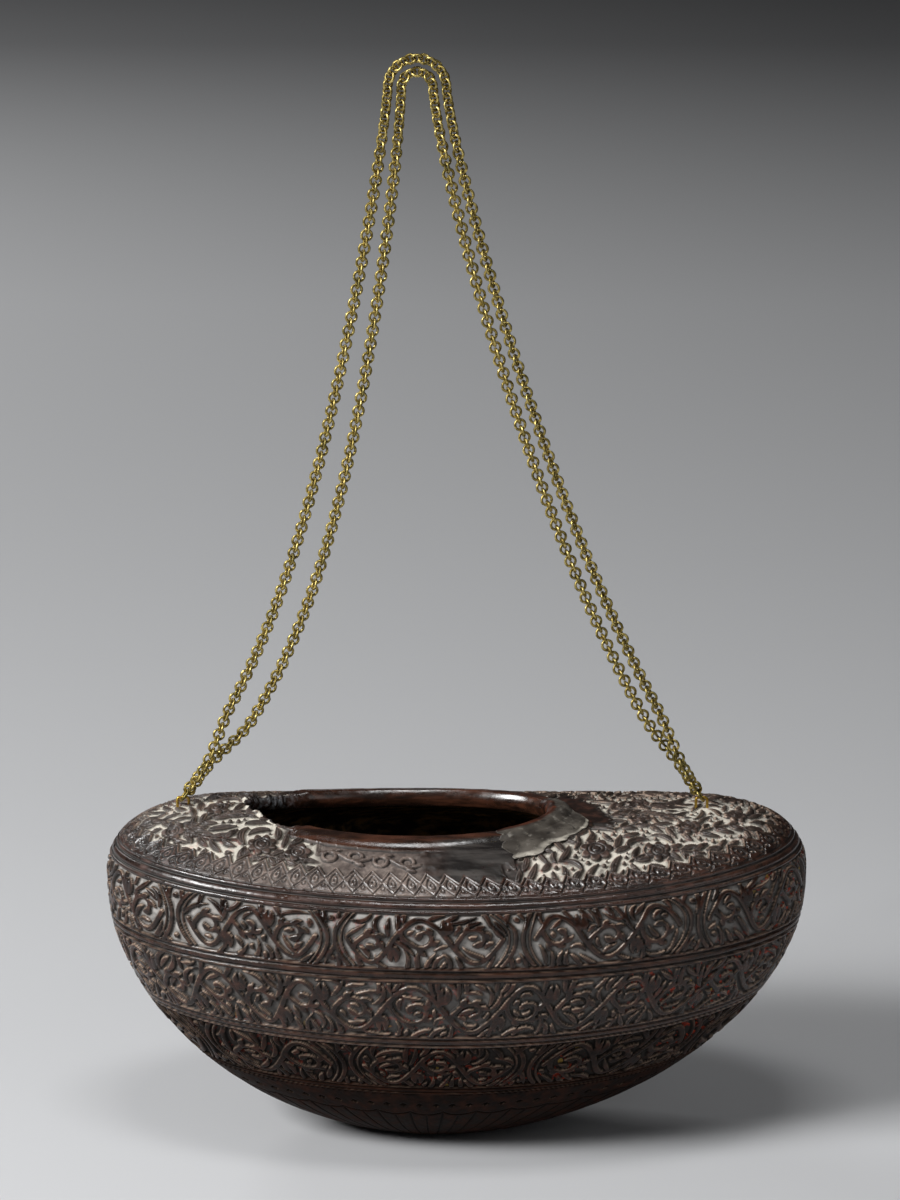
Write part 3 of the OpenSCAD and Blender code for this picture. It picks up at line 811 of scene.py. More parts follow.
def shell_mesh():
    """The carved outside, the rounded rim, the scraped inside and the foot, as one closed mesh."""
    outer = SKIN - WEAR[..., None] * SKIN_N
    end = SKIN_Q[-1]
    n3, a3, rim = normal(TH, end), across(TH, end), skin(TH, end)
    u = np.arange(COLS) * GIRTH / COLS
    notch = np.floor(noise_along(u, 4.2, 17) * 4) / 4
    # the wall is left thicker at the back of the mouth
    more = BACK_WALL * ease((np.sin(TH) - 0.1) / 0.4)[:, None]
    edge = []
    for j in range(1, EDGE_ROWS + 1):
        k = j / EDGE_ROWS
        bulge = np.sin(np.pi * k)
        p = rim - ((WALL + more) * k * n3) + RIM_BULGE * WALL * bulge * a3
        drop = WEAR[-1] * (1 - k) ** 0.5
        p = p - (drop * (1 - k) + CHIP * 1.5 * notch * bulge)[:, None] * n3
        edge.append(p - (CHIP * 1.1 * notch * bulge)[:, None] * a3)
    inner = []
    qs = [np.linspace(3, 2, 8)[1:], np.linspace(2, 1, 16)[1:], np.linspace(1, 0, IN_ROWS - 21)[1:]]
    for q in np.concatenate(qs):
        at = 2 + (q - 2) * (end - 2) if q > 2 else np.full_like(TH, q)
        rough = value_noise(u, np.full_like(u, q * 40), 2.6, 31, int(GIRTH / 2.6))
        rough += 0.6 * value_noise(u, np.full_like(u, q * 90), 1.4, 32, int(GIRTH / 1.4))
        wall = WALL + more * ease(q - 2) - 0.5 * (rough - 0.9)[:, None] * min(1, (3 - q) * 2)
        inner.append(skin(TH, at) - wall * normal(TH, at))
    centre = np.array([FOOT_X * FOOT_S ** 2, 0.0])

    def drawn_in(row, k):
        p = row.copy()
        p[:, :2] = mix(centre, p[:, :2], k)
        return p

    foot_rows = []
    for k in (0.02, 0.25, 0.5, 0.75, 0.93):
        p = drawn_in(outer[0], k)
        p[:, 2] = mix(0.05, p[:, 2], ease((k - 0.7) / 0.3))
        foot_rows.append(p)
    floor_rows = [drawn_in(inner[-1], k) for k in (0.6, 0.2, 0.02)]
    grid = np.concatenate([foot_rows, outer, edge, inner, floor_rows])
    grid[..., 2] = np.maximum(grid[..., 2], 0.0)
    kinds = (len(foot_rows), len(foot_rows) + ROWS, len(foot_rows) + ROWS + EDGE_ROWS)
    return grid, kinds


def new_mesh(name, pts, *faces):
    """A smooth mesh object from points in m and arrays of faces, each array with one number of corners."""
    loops = np.concatenate([f.ravel() for f in faces]).astype(np.int32)
    totals = np.concatenate([np.full(len(f), f.shape[1], np.int32) for f in faces])
    starts = (np.cumsum(totals) - totals).astype(np.int32)
    me = bpy.data.meshes.new(name)
    me.vertices.add(len(pts))
    me.vertices.foreach_set("co", pts.astype(np.float32).ravel())
    me.loops.add(len(loops))
    me.loops.foreach_set("vertex_index", loops)
    me.polygons.add(len(starts))
    me.polygons.foreach_set("loop_start", starts)
    me.polygons.foreach_set("loop_total", totals)
    me.polygons.foreach_set("use_smooth", np.ones(len(starts), bool))
    me.update(calc_edges=True)
    me.validate()
    ob = bpy.data.objects.new(name, me)
    bpy.context.scene.collection.objects.link(ob)
    return ob


def mesh_from_grid(name, grid):
    """A closed mesh object from rows of points, in mm; the rows close on themselves."""
    rows, cols = grid.shape[:2]
    r, c = np.meshgrid(np.arange(rows - 1), np.arange(cols), indexing="ij")
    a, b = r * cols + c, r * cols + (c + 1) % cols
    quads = np.stack([a, b, b + cols, a + cols], -1).reshape(-1, 4)
    ends = np.stack([np.arange(cols)[::-1], (rows - 1) * cols + np.arange(cols)])
    return new_mesh(name, grid.reshape(-1, 3) * MM, quads, ends)


def float_attribute(ob, name, values):
    at = ob.data.attributes.new(name, "FLOAT", "POINT")
    at.data.foreach_set("value", np.ascontiguousarray(values, np.float32).ravel())


# Share of the bake map's height for the outside, and the map's margin
OUTSIDE_SHARE, MARGIN = 0.84, 0.001


def grid_uv(ob, rows, cols, split):
    """A bake map that follows the rows: the outside first, then the inside."""
    loops = np.empty(len(ob.data.loops), np.int32)
    ob.data.loops.foreach_get("vertex_index", loops)
    row, col = loops // cols, loops % cols
    u = col / cols
    # the last column's faces run on to the map's right edge
    quads = (rows - 1) * cols * 4
    c0 = np.repeat(np.tile(np.arange(cols), rows - 1), 4)
    wrap = np.zeros(len(loops), bool)
    wrap[:quads] = (c0 == cols - 1) & (col[:quads] == 0)
    u = np.where(wrap, 1.0, u)
    v = np.interp(row, [0, split, rows - 1], [0.0, OUTSIDE_SHARE, 1.0])
    uv = ob.data.uv_layers.new(name="OFBake")
    places = np.stack([u, v], 1) * (1 - 2 * MARGIN) + MARGIN
    uv.data.foreach_set("uv", places.astype(np.float32).ravel())


# Materials
class Nodes:
    """A short way to write a material's nodes."""

    def __init__(self, name):
        self.mat = bpy.data.materials.new(name)
        self.mat.use_nodes = True
        self.tree = self.mat.node_tree
        self.shader = self.tree.nodes["Principled BSDF"]

    def node(self, kind, sockets=None, **values):
        n = self.tree.nodes.new("ShaderNode" + kind)
        for k, v in values.items():
            setattr(n, k, v)
        for k, v in (sockets or {}).items():
            self.put(v, n.inputs[k])
        return n

    def put(self, value, socket):
        if isinstance(value, bpy.types.NodeSocket):
            self.tree.links.new(value, socket)
        else:
            socket.default_value = value

    def attribute(self, name):
        return self.node("Attribute", attribute_name=name, attribute_type="GEOMETRY").outputs["Fac"]

    def place(self):
        return self.node("TexCoord").outputs["Object"]

    def noise(self, scale, detail, rough=0.55, stretch=None):
        at = self.place()
        if stretch:
            at = self.node("Mapping", {"Vector": at, "Scale": stretch}).outputs["Vector"]
        sockets = {"Vector": at, "Scale": scale, "Detail": detail, "Roughness": rough}
        return self.node("TexNoise", sockets).outputs["Fac"]

    def math(self, op, a, b, clamp=False):
        return self.node("Math", {0: a, 1: b}, operation=op, use_clamp=clamp).outputs[0]

    def times(self, first, *factors):
        for f in factors:
            first = self.math("MULTIPLY", first, f)
        return first

    def step(self, value, low_end, high_end, to_low=0.0, to_high=1.0):
        names = ("Value", "From Min", "From Max", "To Min", "To Max")
        sockets = dict(zip(names, (value, low_end, high_end, to_low, to_high)))
        return self.node("MapRange", sockets, interpolation_type="SMOOTHSTEP").outputs["Result"]

    def blend(self, k, a, b):
        return self.node("Mix", {0: k, 6: a, 7: b}, data_type="RGBA").outputs[2]

    def tint(self, value, low_end, high_end, first, second):
        """One colour below and another above, both as they show on a screen."""
        return self.blend(self.step(value, low_end, high_end), rgb(*first), rgb(*second))

    def layers(self, colour, coats):
        """A colour with coats over it, each given by its mask and its own colour."""
        for mask, coat in coats:
            colour = self.blend(mask, colour, coat)
        return colour

    def bump(self, height, strength, distance):
        n = self.node("Bump", {"Height": height, "Strength": strength, "Distance": distance})
        self.put(n.outputs["Normal"], self.shader.inputs["Normal"])

    def set(self, **values):
        for k, v in values.items():
            self.put(v, self.shader.inputs[k.replace("_", " ")])


def rgb(r, g, b):
    """A colour given as it shows on a screen, from 0 to 255."""
    lin = lambda c: c / 12.92 if c <= 0.04045 else ((c + 0.055) / 1.055) ** 2.4
    return (lin(r / 255), lin(g / 255), lin(b / 255), 1.0)


BLACK = (0.0, 0.0, 0.0, 1.0)
# Noise drawn out along the bowl, for the grain of the nut
GRAIN = (260.0, 3.0, 0.6, (0.16, 1.0, 1.0))
# Masks of the shell, from 0 to 1, that its materials read
SHELL_MASKS = ("height", "dust", "cream", "red", "polish", "inside", "chipped", "up_edge_highlight", "corner",
               "painted_sheen_and_dust", "slate")


def shell_material(name, sheen, rough_top, shade, painted_glint):
    """The nut's shell: sheen is the shine of the wax, shade how far painted shade darkens a part towards
    black, glint how strong the painted highlight is on edges that face up.
    """
    m = Nodes(name)
    masks = [m.attribute(n) for n in SHELL_MASKS]
    height, dust, cream, red, polish, inside, chipped, up_edge_highlight, corner, painted_sheen_and_dust, slate = masks
    broad = m.noise(38.0, 4.0)
    mid = m.noise(210.0, 4.0)
    fine = m.noise(900.0, 3.0)
    grain = m.noise(*GRAIN)
    fleck = m.step(m.noise(330.0, 2.0), 0.58, 0.63)
    gold = m.step(m.noise(150.0, 1.0), 0.715, 0.735)
    flake = m.step(m.noise(420.0, 3.0), 0.42, 0.6)
    fibre = m.noise(520.0, 4.0, 0.65, (0.12, 1.0, 0.35))
    low_part = m.step(height, 0.05, 0.42, 1.0, 0.0)
    patchy = m.times(m.step(mid, 0.25, 0.6, 0.5, 1.0), m.step(broad, 0.25, 0.6, 0.65, 1.0))
    grey = m.times(dust, low_part, patchy)
    pale = m.times(cream, low_part, m.step(mid, 0.3, 0.5, 0.25, 1.0))
    colour = m.layers(m.tint(broad, 0.35, 0.68, (20, 14, 11), (33, 23, 18)), [
        # worn tops, polished shell, slate grey, and pale places painted with sheen and dust
        (m.times(m.step(height, 0.7, 0.98), m.step(mid, 0.3, 0.75, 0.2, 0.75)),
         m.tint(mid, 0.35, 0.7, (42, 26, 20), (80, 48, 36))),
        (polish, m.tint(grain, 0.35, 0.72, (34, 21, 15), (88, 53, 38))),
        (m.times(slate, m.step(broad, 0.25, 0.5, 0.7, 1.0)),
         m.tint(grain, 0.35, 0.72, (30, 27, 26), (78, 74, 71))),
        (m.times(painted_sheen_and_dust, m.step(fine, 0.3, 0.7, 0.55, 1.0)),
         m.tint(mid, 0.3, 0.7, (116, 101, 94), (186, 169, 158))),
        # grey and cream dust in the ground, painted shade in the corners under the strokes, painted highlight
        # on edges that face up
        (grey, m.blend(fine, rgb(170, 167, 164), rgb(222, 216, 209))),
        (pale, m.blend(fine, rgb(204, 196, 182), rgb(246, 240, 226))),
        (m.times(corner, 0.95), rgb(13, 9, 7)),
        (m.times(up_edge_highlight, m.step(mid, 0.3, 0.62, 0.25 * painted_glint, painted_glint)), rgb(190, 164, 143)),
        # rests of red and gold, pale facets at the rim, the fibrous inside
        (m.times(fleck, red, m.step(height, 0.25, 0.85, 1.0, 0.1)),
         m.tint(fine, 0.45, 0.6, (140, 36, 18), (206, 72, 34))),
        (m.times(gold, m.times(red, low_part)), rgb(206, 168, 78)),
        (m.times(chipped, flake), m.tint(mid, 0.35, 0.65, (66, 64, 64), (150, 152, 156))),
        (inside, m.tint(fibre, 0.46, 0.66, (22, 15, 10), (168, 134, 78))),
        # painted shade: the part is darkened towards black, most on the lower parts of the shell
        (shade, BLACK)])
    rough = m.step(height, 0.45, 0.9, 0.62, rough_top)
    rough = m.math("ADD", rough, m.step(mid, 0.3, 0.7, -0.06, 0.08))
    rough = m.math("SUBTRACT", rough, m.times(polish, 0.08))
    rough = m.math("ADD", rough, m.times(m.math("MAXIMUM", grey, pale), 0.3), True)
    rough = m.math("ADD", rough, m.times(inside, 0.35), True)
    m.set(Base_Color=colour, Roughness=rough)
    m.shader.inputs["Specular IOR Level"].default_value = sheen
    surface = m.math("ADD", m.times(fine, 0.6), m.times(grain, 0.5))
    m.bump(surface, 0.22, 0.0003)
    return m.mat


LIP_MASKS = ("edge", "crack", "bare")


def lip_material():
    """The hard filler: dark and scuffed, bare along the rim, with a pale edge and fine cracks."""
    m = Nodes("mend_filler")
    edge, crack, bare = [m.attribute(n) for n in LIP_MASKS]
    mid = m.noise(90.0, 5.0)
    fine = m.noise(700.0, 3.0)
    grain = m.noise(*GRAIN)
    colour = m.layers(m.tint(mid, 0.35, 0.68, (52, 47, 42), (98, 92, 84)), [
        (m.step(m.noise(40.0, 3.0), 0.5, 0.68, 0.0, 0.7), rgb(44, 38, 33)),
        (m.step(m.noise(330.0, 4.0), 0.56, 0.7, 0.0, 0.6), rgb(142, 137, 128)),
        (m.step(m.noise(240.0, 5.0), 0.6, 0.68, 0.0, 0.7), rgb(24, 21, 18)),
        (bare, m.tint(grain, 0.35, 0.72, (36, 20, 14), (92, 50, 33))),
        (m.times(edge, m.step(m.noise(260.0, 3.0), 0.3, 0.55, 0.45, 1.0)), rgb(214, 207, 192)),
        (m.times(crack, 0.85), rgb(18, 16, 14))])
    rough = m.math("SUBTRACT", m.step(mid, 0.3, 0.7, 0.4, 0.54), m.times(bare, 0.14))
    m.set(Base_Color=colour, Roughness=rough)
    m.bump(m.math("ADD", fine, m.times(mid, 2.0)), 0.25, 0.0004)
    return m.mat


def brass_material(name, bright, dark, patina, rough):
    """Brass with bright, dark and tarnished places, given as colours on a screen."""
    m = Nodes(name)
    broad = m.noise(120.0, 3.0)
    mid = m.noise(700.0, 3.0)
    fine = m.noise(2600.0, 3.0)
    colour = m.tint(mid, 0.36, 0.66, dark, bright)
    colour = m.blend(m.step(broad, 0.52, 0.72, 0.0, 0.6), colour, rgb(*patina))
    m.set(Base_Color=colour, Roughness=m.step(mid, 0.3, 0.7, rough + 0.14, rough))
    m.shader.inputs["Metallic"].default_value = 1.0
    m.bump(m.math("ADD", fine, mid), 0.25, 0.0001)
    return m.mat


# The carved shell
grid, kinds = shell_mesh()
shell = mesh_from_grid("bowl_shell_carved", grid)
rows_all = grid.shape[0]


def spread(values, rest=0.0):
    """Values of the outer skin, carried to all rows of the shell."""
    out = np.full((rows_all, COLS), rest, float)
    out[kinds[0]:kinds[1]] = values
    out[:kinds[0]] = values[0]
    return out


x_out, y_out, z_out = SKIN[..., 0], SKIN[..., 1], SKIN[..., 2]
u_out = SHARE * GIRTH
patch = value_noise(u_out, ARC, 22.0, 41, int(GIRTH / 22.0))
roof_out, border_out = ZONE == Z_ROOF, ZONE == Z_BORDER
ring_out, rim_out = ZONE >= Z_RING, ZONE == Z_RIM
dust = mix(0.05, 0.55, ease((z_out - 50) / 55)) * mix(0.5, 1.0, patch)
dust = np.where(ZONE == 1, mix(0.72, 1.0, patch), dust)
dust *= mix(1.0, 0.55, ease((x_out - 30) / 80) * (z_out < 124))
dust = np.where(roof_out, 0.0, dust)
cream = np.where(roof_out, mix(0.85, 1.0, ease(patch * 1.6 - 0.2)) * (1 - PLAIN), 0.0)
cream *= 1 - STRIP
cream = np.where(border_out, 0.5 * patch, np.where(ZONE == Z_RING, 0.15 * patch, cream))
red = np.where((ZONE >= 1) & (ZONE <= 3), mix(0.25, 1.0, ease((x_out + 60) / 150)), 0.0)
red = np.maximum(red, np.where(roof_out, 0.25, 0.0))
red *= 0.8 * ease(value_noise(u_out, ARC, 30.0, 43, int(GIRTH / 30.0)) * 2.2 - 0.75)
polish = np.max([np.where(rim_out, 0.85, 0.0), 0.4 * PLAIN * roof_out * (x_out < 40), 0.45 * ring_out,
                 0.5 * border_out * ease((x_out + 20) / 30)], axis=0)
polish = spread(polish * (1 - CHIP), 0.9)
polish[kinds[1]:] = (1 - 0.8 * CHIP)[None, :] * 0.95
# painted sheen: the front left of the border and the scroll beside it are painted pale, as where the key
# light shines on them
painted_sheen_and_dust = ease(1.25 - ((x_out + 52) / 58) ** 2) * ease((-20 - y_out) / 12) * (border_out | roof_out)
painted_sheen_and_dust = painted_sheen_and_dust * np.where(border_out, 0.7, 0.8 * STRIP * (1 - PLAIN)) * mix(0.6, 1.0, patch)
# dust and painted light on the leaves of the shoulders, paler towards the left where the key light falls
painted_sheen_and_dust = np.maximum(painted_sheen_and_dust, roof_out * (1 - PLAIN) * mix(0.17, 0.11, ease((x_out + 50) / 60)))
# the bare strip and the band at the front right have weathered to slate grey
slate = ease((x_out + 16) / 16) * ease((-14 - y_out) / 8)
slate *= np.where(rim_out, ease((2.72 - SKIN_Q) / 0.2), PLAIN * roof_out)
# pale facets where the rim's inner edge has flaked at the back left
turn = np.degrees(TH % (2 * np.pi))
flaked = ease((turn - 128) / 8) * ease((180 - turn) / 20)
chipped = np.zeros((rows_all, COLS))
chipped[kinds[1]:kinds[2] + 3] = np.maximum(flaked, 0.3 * CHIP)[None, :]
# the inside starts lower at the right end, where light falls in
lit_end = ease((np.cos(TH) - 0.3) / 0.5)
inside = np.zeros((rows_all, COLS))
depth_row = np.arange(rows_all - kinds[2])[:, None]
inside[kinds[2]:] = ease((depth_row - 3.0 - 12.0 * lit_end) / (4.0 + 6.0 * lit_end))
# painted highlight on edges that face up, weaker on the rings
up_edge_highlight = spread(PAINTED_EDGE_HIGHLIGHT * np.where(ring_out, 0.5, 1.0))
masks = (spread(HEIGHT, 0.9), spread(dust), spread(cream), spread(red), polish, inside, chipped, up_edge_highlight,
         spread(PAINTED_CORNER_SHADE), spread(painted_sheen_and_dust), spread(slate))
for name, values in zip(SHELL_MASKS, masks):
    float_attribute(shell, name, values)
grid_uv(shell, rows_all, COLS, kinds[1])
# parts of the shell: shine of the wax, roughness of the tops, painted shade, painted highlight on edges that
# face up
SHELL_PARTS = [("top", 0.85, 0.3, 0.0, 0.65), ("side", 0.34, 0.22, 0.08, 0.9),
               ("low", 0.08, 0.32, 0.38, 0.55), ("foot", 0.03, 0.5, 0.5, 0.4), ("roof", 0.6, 0.36, 0.0, 0.9)]
TOP, SIDE, LOW, FOOT, ROOF = range(len(SHELL_PARTS))
for name, *look in SHELL_PARTS:
    shell.data.materials.append(shell_material("nut_shell_" + name, *look))
part_of = np.zeros((rows_all - 1, COLS), np.int32)
zone_all = np.concatenate([np.repeat(ZONE[:1], kinds[0], 0), ZONE])[:kinds[1]]
part_of[:kinds[1]] = np.select(
    [(zone_all == Z_LOW) | (zone_all == Z_RING + 3), zone_all == 3, (zone_all < Z_LOW) | (zone_all > Z_RING),
     zone_all == Z_ROOF], [FOOT, LOW, SIDE, ROOF], TOP)
part_of = np.concatenate([part_of.ravel(), [FOOT, TOP]]).astype(np.int32)
shell.data.polygons.foreach_set("material_index", part_of)
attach(shell, "bowl")
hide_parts("bowl_shell")


# Thickness of the lip's thinnest edge, in mm, and points along it
LIP_THIN, LIP_COLS = 0.04, 330


# The mended lip: a smooth skin laid on the band and over the rim's right end
def lip_grid():
    k = np.linspace(0, 1, LIP_COLS)
    taper = ease(k / 0.36) * ease((1 - k) / 0.24)
    ends = ease(k / 0.04) * ease((1 - k) / 0.04)
    qs = np.linspace(2, 3, 34)
    ks = np.linspace(0, 0.5, 12)[1:]
    rise = np.interp(qs, [2, 2.33, 2.67, 3], [0, 0.55, 0.95, 1])
    rim_rise = np.interp(ks, [0, 0.25, 0.5], [1, 0.75, 0.25])
    # cracks: middle angle, place across the band, length in degrees
    lines = [(-40, 2.3, 12), (-24, 2.72, 13), (-4, 2.4, 16), (20, 2.66, 12)]
    top, under_side, edge, crack, bare = [], [], [], [], []

    def place(q):
        """Angles along a row: both ends are ragged."""
        stray = lambda scale, seed: value_noise(np.array([q * scale]), np.array([0.5]), 1.0, seed)[0]
        ragged = 2.5 * stray(7.0, 54) + 7.0 * (q - 2)
        start = LIP_FROM - 8.0 + ragged + 2.0 * stray(31.0, 55)
        end = LIP_TO - 1.0 - 5.0 * stray(17.0, 56)
        return np.radians(mix(start, end, k))

    for q, r in zip(qs, rise):
        th = place(q)
        deg = np.degrees(th)
        wavy = noise_along(deg, 9.0, 51) - 0.5
        nick = noise_along(deg, 2.2, 57)
        skirt = np.interp(deg, [-74, -70, -66, -60, -52, -40], [0.33, 0.28, 0.2, 0.08, 0.02, -0.03])
        skirt = skirt - 0.05 * (nick + wavy)
        at = np.minimum(q - skirt * max(0.0, 1 - (q - 2) * 1.25), 3)
        thin = LIP_THIN + (LIP_EDGE - LIP_THIN) * ends * min(1, (q - 2) * 12)
        thick = thin + (LIP_H - LIP_EDGE) * r * taper
        thick = thick + 0.35 * ends * (value_noise(deg, np.full_like(deg, q * 22), 7.0, 52) - 0.5) * r
        c = np.zeros_like(deg)
        shake = 0.15 * (noise_along(deg, 2.0, 53) - 0.5)
        for mid_deg, mid, length in lines:
            d = q - mid - 0.22 * np.sin((deg - mid_deg) * 0.5) - shake
            c = np.maximum(c, ease((0.03 - np.abs(d)) / 0.025) * ease((length - np.abs(deg - mid_deg)) / 5))
        thick = thick - 0.25 * c
        p = skin(th, at)
        top.append(p + thick[:, None] * normal(th, at))
        under_side.append(p)
        edge.append(ease((0.08 + 0.08 * wavy - (q - 2)) / 0.04) * ease((deg + 74) / 8))
        crack.append(c)
        bare.append(ease((q - 2.86 - 0.08 * wavy) / 0.1))
    th = place(3.0)
    on_rim = np.full_like(th, 3.0)
    n3, a3, rim = normal(th, on_rim), across(th, on_rim), skin(th, on_rim)
    for s, r in zip(ks, rim_rise):
        thick = LIP_THIN + (LIP_EDGE - LIP_THIN) * ends + (LIP_H - LIP_EDGE) * r * taper
        turn = np.pi * s
        p = rim - WALL * s * n3 + RIM_BULGE * WALL * np.sin(turn) * a3
        top.append(p + thick[:, None] * unit(n3 * np.cos(turn) + a3 * np.sin(turn)))
        under_side.append(p)
        edge.append(np.zeros_like(k))
        crack.append(np.zeros_like(k))
        bare.append(np.ones_like(k))
    none = [np.zeros_like(k)] * len(under_side)
    rows = (top + under_side[::-1], edge + none, crack + none, bare + none)
    return [np.swapaxes(np.stack(r), 0, 1) for r in rows]


grid, *masks = lip_grid()
lip = mesh_from_grid("mended_lip_smooth", grid)
for name, values in zip(LIP_MASKS, masks):
    float_attribute(lip, name, values)
lip.data.materials.append(lip_material())
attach(lip, "bowl")
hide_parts("mended_lip")


# The chain: one ring of bent wire for every link, placed on its solid
def solids_of(node):
    """Vertex lists of the closed links that a node's mesh is made of."""
    me = frame["nodes"][node].data
    co = np.empty(len(me.vertices) * 3, np.float32)
    me.vertices.foreach_get("co", co)
    co = co.reshape(-1, 3).astype(float)
    tri = np.empty(len(me.loops), np.int32)
    me.loops.foreach_get("vertex_index", tri)
    tri = tri.reshape(-1, 3)
    lo, hi = tri.min(1), np.maximum.accumulate(tri.max(1))
    starts = np.concatenate([[0], np.nonzero(lo[1:] > hi[:-1])[0] + 1])
    ends = np.concatenate([starts[1:], [len(tri)]])
    return [co[tri[a:b].min():tri[a:b].max() + 1] for a, b in zip(starts, ends)]


def frame_of(p):
    """Middle, axes, ring radius and wire radius of a link."""
    mid = p.mean(0)
    _, axes = np.linalg.eigh(np.cov((p - mid).T))
    axis = axes[:, 0]
    u = axes[:, 2]
    v = np.cross(axis, u)
    local = (p - mid) @ np.stack([u, v, axis], 1)
    shift = (local.max(0) + local.min(0)) / 2
    mid = mid + np.stack([u, v, axis], 1) @ shift
    size = local.max(0) - local.min(0)
    wire = size[2] / 2
    return mid, u, v, axis, max(size[0], size[1]) / 2 - wire, wire


# Points round a link and round its wire
AROUND, ACROSS = 36, 12


def link_points(p, rng):
    """A bent wire ring, a little uneven, with the seam where its ends meet."""
    mid, u, v, axis, radius, wire = frame_of(p)
    a = np.linspace(0, 2 * np.pi, AROUND, endpoint=False) + rng.uniform(0, 2 * np.pi)
    b = np.linspace(0, 2 * np.pi, ACROSS, endpoint=False)
    seam = np.exp(-((np.arange(AROUND) - AROUND // 2) / 0.55) ** 2)
    thin = wire * (0.985 - 0.17 * seam + 0.012 * np.sin(2 * a + rng.uniform(0, 6)))
    ca, sa = np.cos(a)[:, None], np.sin(a)[:, None]
    r = radius + thin[:, None] * np.cos(b)[None, :]
    h = thin[:, None] * np.sin(b)[None, :]
    pts = mid + (r * ca)[..., None] * u + (r * sa)[..., None] * v + h[..., None] * axis
    return pts.reshape(-1, 3)


def chain_piece(name, node, body, material, rng):
    """All links of a node as one mesh, with the node's place in the part."""
    i, j = np.meshgrid(np.arange(AROUND), np.arange(ACROSS), indexing="ij")
    i2, j2 = (i + 1) % AROUND, (j + 1) % ACROSS
    faces = np.stack([i * ACROSS + j, i2 * ACROSS + j, i2 * ACROSS + j2, i * ACROSS + j2], -1).reshape(-1, 4)
    verts = [link_points(p, rng) for p in solids_of(node)]
    quads = [faces + n * AROUND * ACROSS for n in range(len(verts))]
    ob = new_mesh(name, np.concatenate(verts), np.concatenate(quads))
    ob.data.materials.append(material)
    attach(ob, body)
    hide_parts(node)


chain_brass = brass_material("chain_brass", (210, 190, 118), (122, 106, 54), (90, 88, 52), 0.36)
staple_brass = brass_material("staple_brass", (216, 182, 88), (168, 134, 58), (130, 106, 54), 0.3)
rove_brass = brass_material("rove_brass", (160, 130, 70), (104, 82, 44), (78, 68, 44), 0.4)
rng = np.random.default_rng(77)
for body in ("chain_low", "chain_mid", "chain_high", "chain_top"):
    for node in frame["record"]["behaviour"]["bodies"][body]:
        chain_piece(node + "_links", node, body, chain_brass, rng)
for node, material in (("left_staple", staple_brass), ("right_staple", staple_brass),
                       ("left_rove", rove_brass), ("right_rove", rove_brass)):
    ob = frame["nodes"][node]
    ob.data.materials.clear()
    ob.data.materials.append(material)


# Floor, light and camera
def floor_material():
    """Paper whose colour darkens towards the back: painted shade where less light falls."""
    m = Nodes("paper_floor")
    depth = m.node("SeparateXYZ", {0: m.place()}).outputs["Y"]
    ramp = m.node("ValToRGB", {0: m.step(depth, -0.6, 4.6)})
    # painted shade: the paper's colour falls from front to back
    shades = [(0.0, 0.71), (0.1, 0.63), (0.18, 0.6), (0.43, 0.51), (0.86, 0.165), (1.0, 0.13)]
    while len(ramp.color_ramp.elements) < len(shades):
        ramp.color_ramp.elements.new(0.5)
    for element, (at, shade) in zip(ramp.color_ramp.elements, shades):
        element.position = at
        element.color = (shade, 1.01 * shade, 1.03 * shade, 1)
    m.set(Base_Color=ramp.outputs["Color"])
    m.shader.inputs["Roughness"].default_value = 0.85
    m.shader.inputs["Specular IOR Level"].default_value = 0.1
    return m.mat


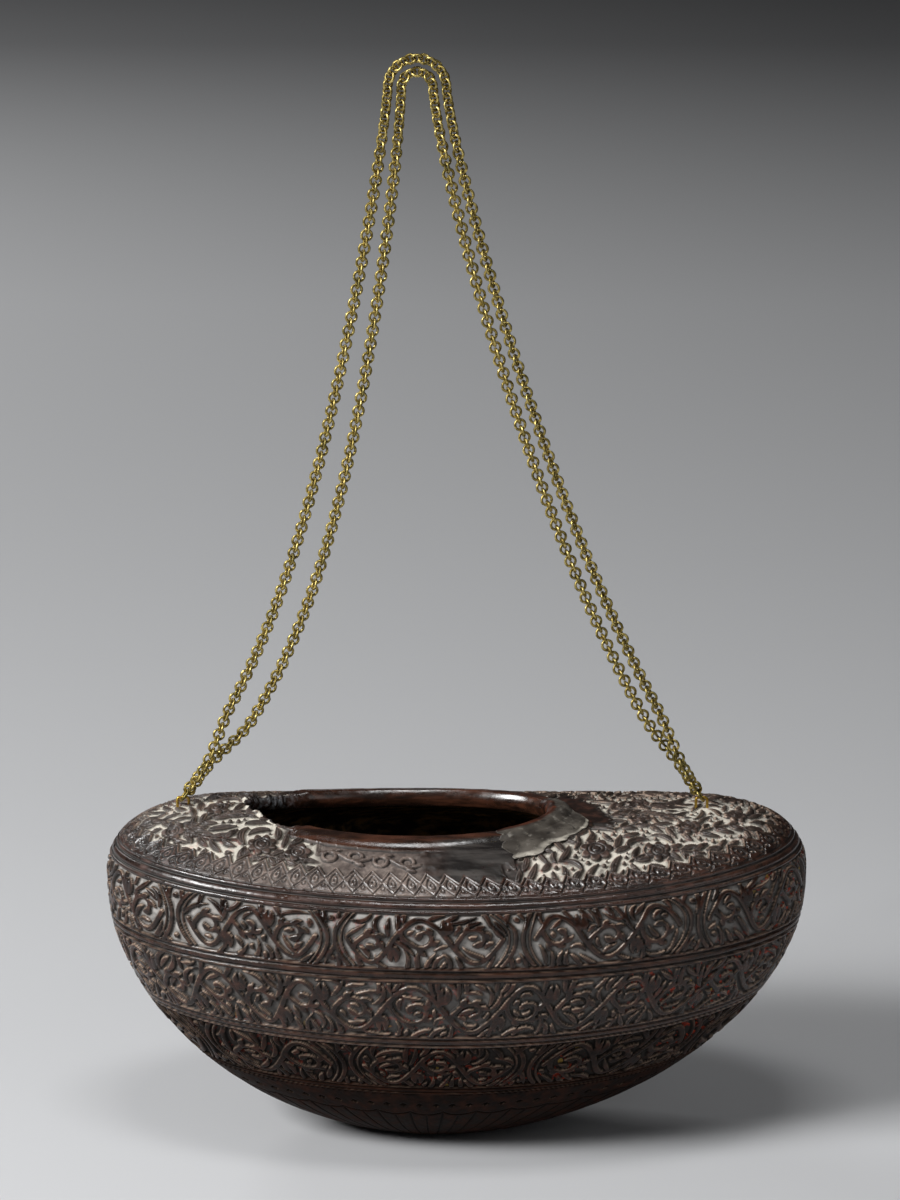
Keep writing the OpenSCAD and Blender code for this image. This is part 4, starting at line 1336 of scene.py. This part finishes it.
# Corners of the floor, in m
FLOOR = [(-8, -4, 0), (8, -4, 0), (8, 14, 0), (-8, 14, 0)]
me = bpy.data.meshes.new("floor")
me.from_pydata(FLOOR, [], [(0, 1, 2, 3)])
floor = bpy.data.objects.new("floor", me)
bpy.context.scene.collection.objects.link(floor)
me.materials.append(floor_material())
floor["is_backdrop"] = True


def area(name, place, target, size, power, spread=180):
    """A lamp with a square or oblong face, in m and W, turned to its target."""
    light = bpy.data.lights.new(name, "AREA")
    light.shape = "RECTANGLE"
    light.size, light.size_y = size
    light.energy = power
    light.spread = math.radians(spread)
    ob = bpy.data.objects.new(name, light)
    ob.location = place
    ob.rotation_euler = (Vector(target) - Vector(place)).to_track_quat("-Z", "Y").to_euler()
    bpy.context.scene.collection.objects.link(ob)


area("top", (0.0, -0.35, 1.4), (0, 0, 0.1), (0.45, 0.25), 3.8)
area("key", (-1.63, -1.05, 1.45), (0, 0, 0.1), (0.75, 0.75), 55)
area("fill", (1.4, -1.3, 1.3), (0, 0, 0.1), (1.2, 1.2), 2.6)
area("backdrop", (-2.1, 2.6, 2.2), (-1.7, 2.6, 0), (1.6, 1.2), 38, 130)

world = bpy.data.worlds.new("studio")
bpy.context.scene.world = world
world.use_nodes = True
world.node_tree.nodes["Background"].inputs["Color"].default_value = (0.8, 0.82, 0.86, 1)
world.node_tree.nodes["Background"].inputs["Strength"].default_value = 0.038

# The photograph's size, focal length and the place of the bowl's middle in it, all in pixels
PHOTO_W, PHOTO_H, FOCAL_PX, BOWL_X, BOWL_Y = 900, 1200, 3972.0, 456.8, 885
SENSOR = 36.0
cam = bpy.data.cameras.new("camera")
cam.sensor_fit = "VERTICAL"
cam.sensor_height = SENSOR
cam.sensor_width = SENSOR * PHOTO_W / PHOTO_H
cam.lens = SENSOR * FOCAL_PX / PHOTO_H
cam.clip_end = 60
camera = bpy.data.objects.new("camera", cam)
LOOK_DOWN, FAR = math.radians(20), 1.7
target = Vector((0, 0, 0.11))
camera.location = target + FAR * Vector((0, -math.cos(LOOK_DOWN), math.sin(LOOK_DOWN)))
# The camera is turned so that the bowl's middle falls where the photograph has it
tilt = math.atan((BOWL_Y - PHOTO_H / 2) / FOCAL_PX)
turn = math.atan((BOWL_X - PHOTO_W / 2) / FOCAL_PX)
camera.rotation_euler = (math.radians(90) - LOOK_DOWN + tilt, 0, turn)
bpy.context.scene.collection.objects.link(camera)
bpy.context.scene.camera = camera

bpy.context.scene.view_settings.view_transform = "Standard"

VISUAL_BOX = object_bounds()
plain_box = lambda box: [[float(v) for v in corner] for corner in box]
{"cad": plain_box(CAD_BOX), "visual": plain_box(VISUAL_BOX)}
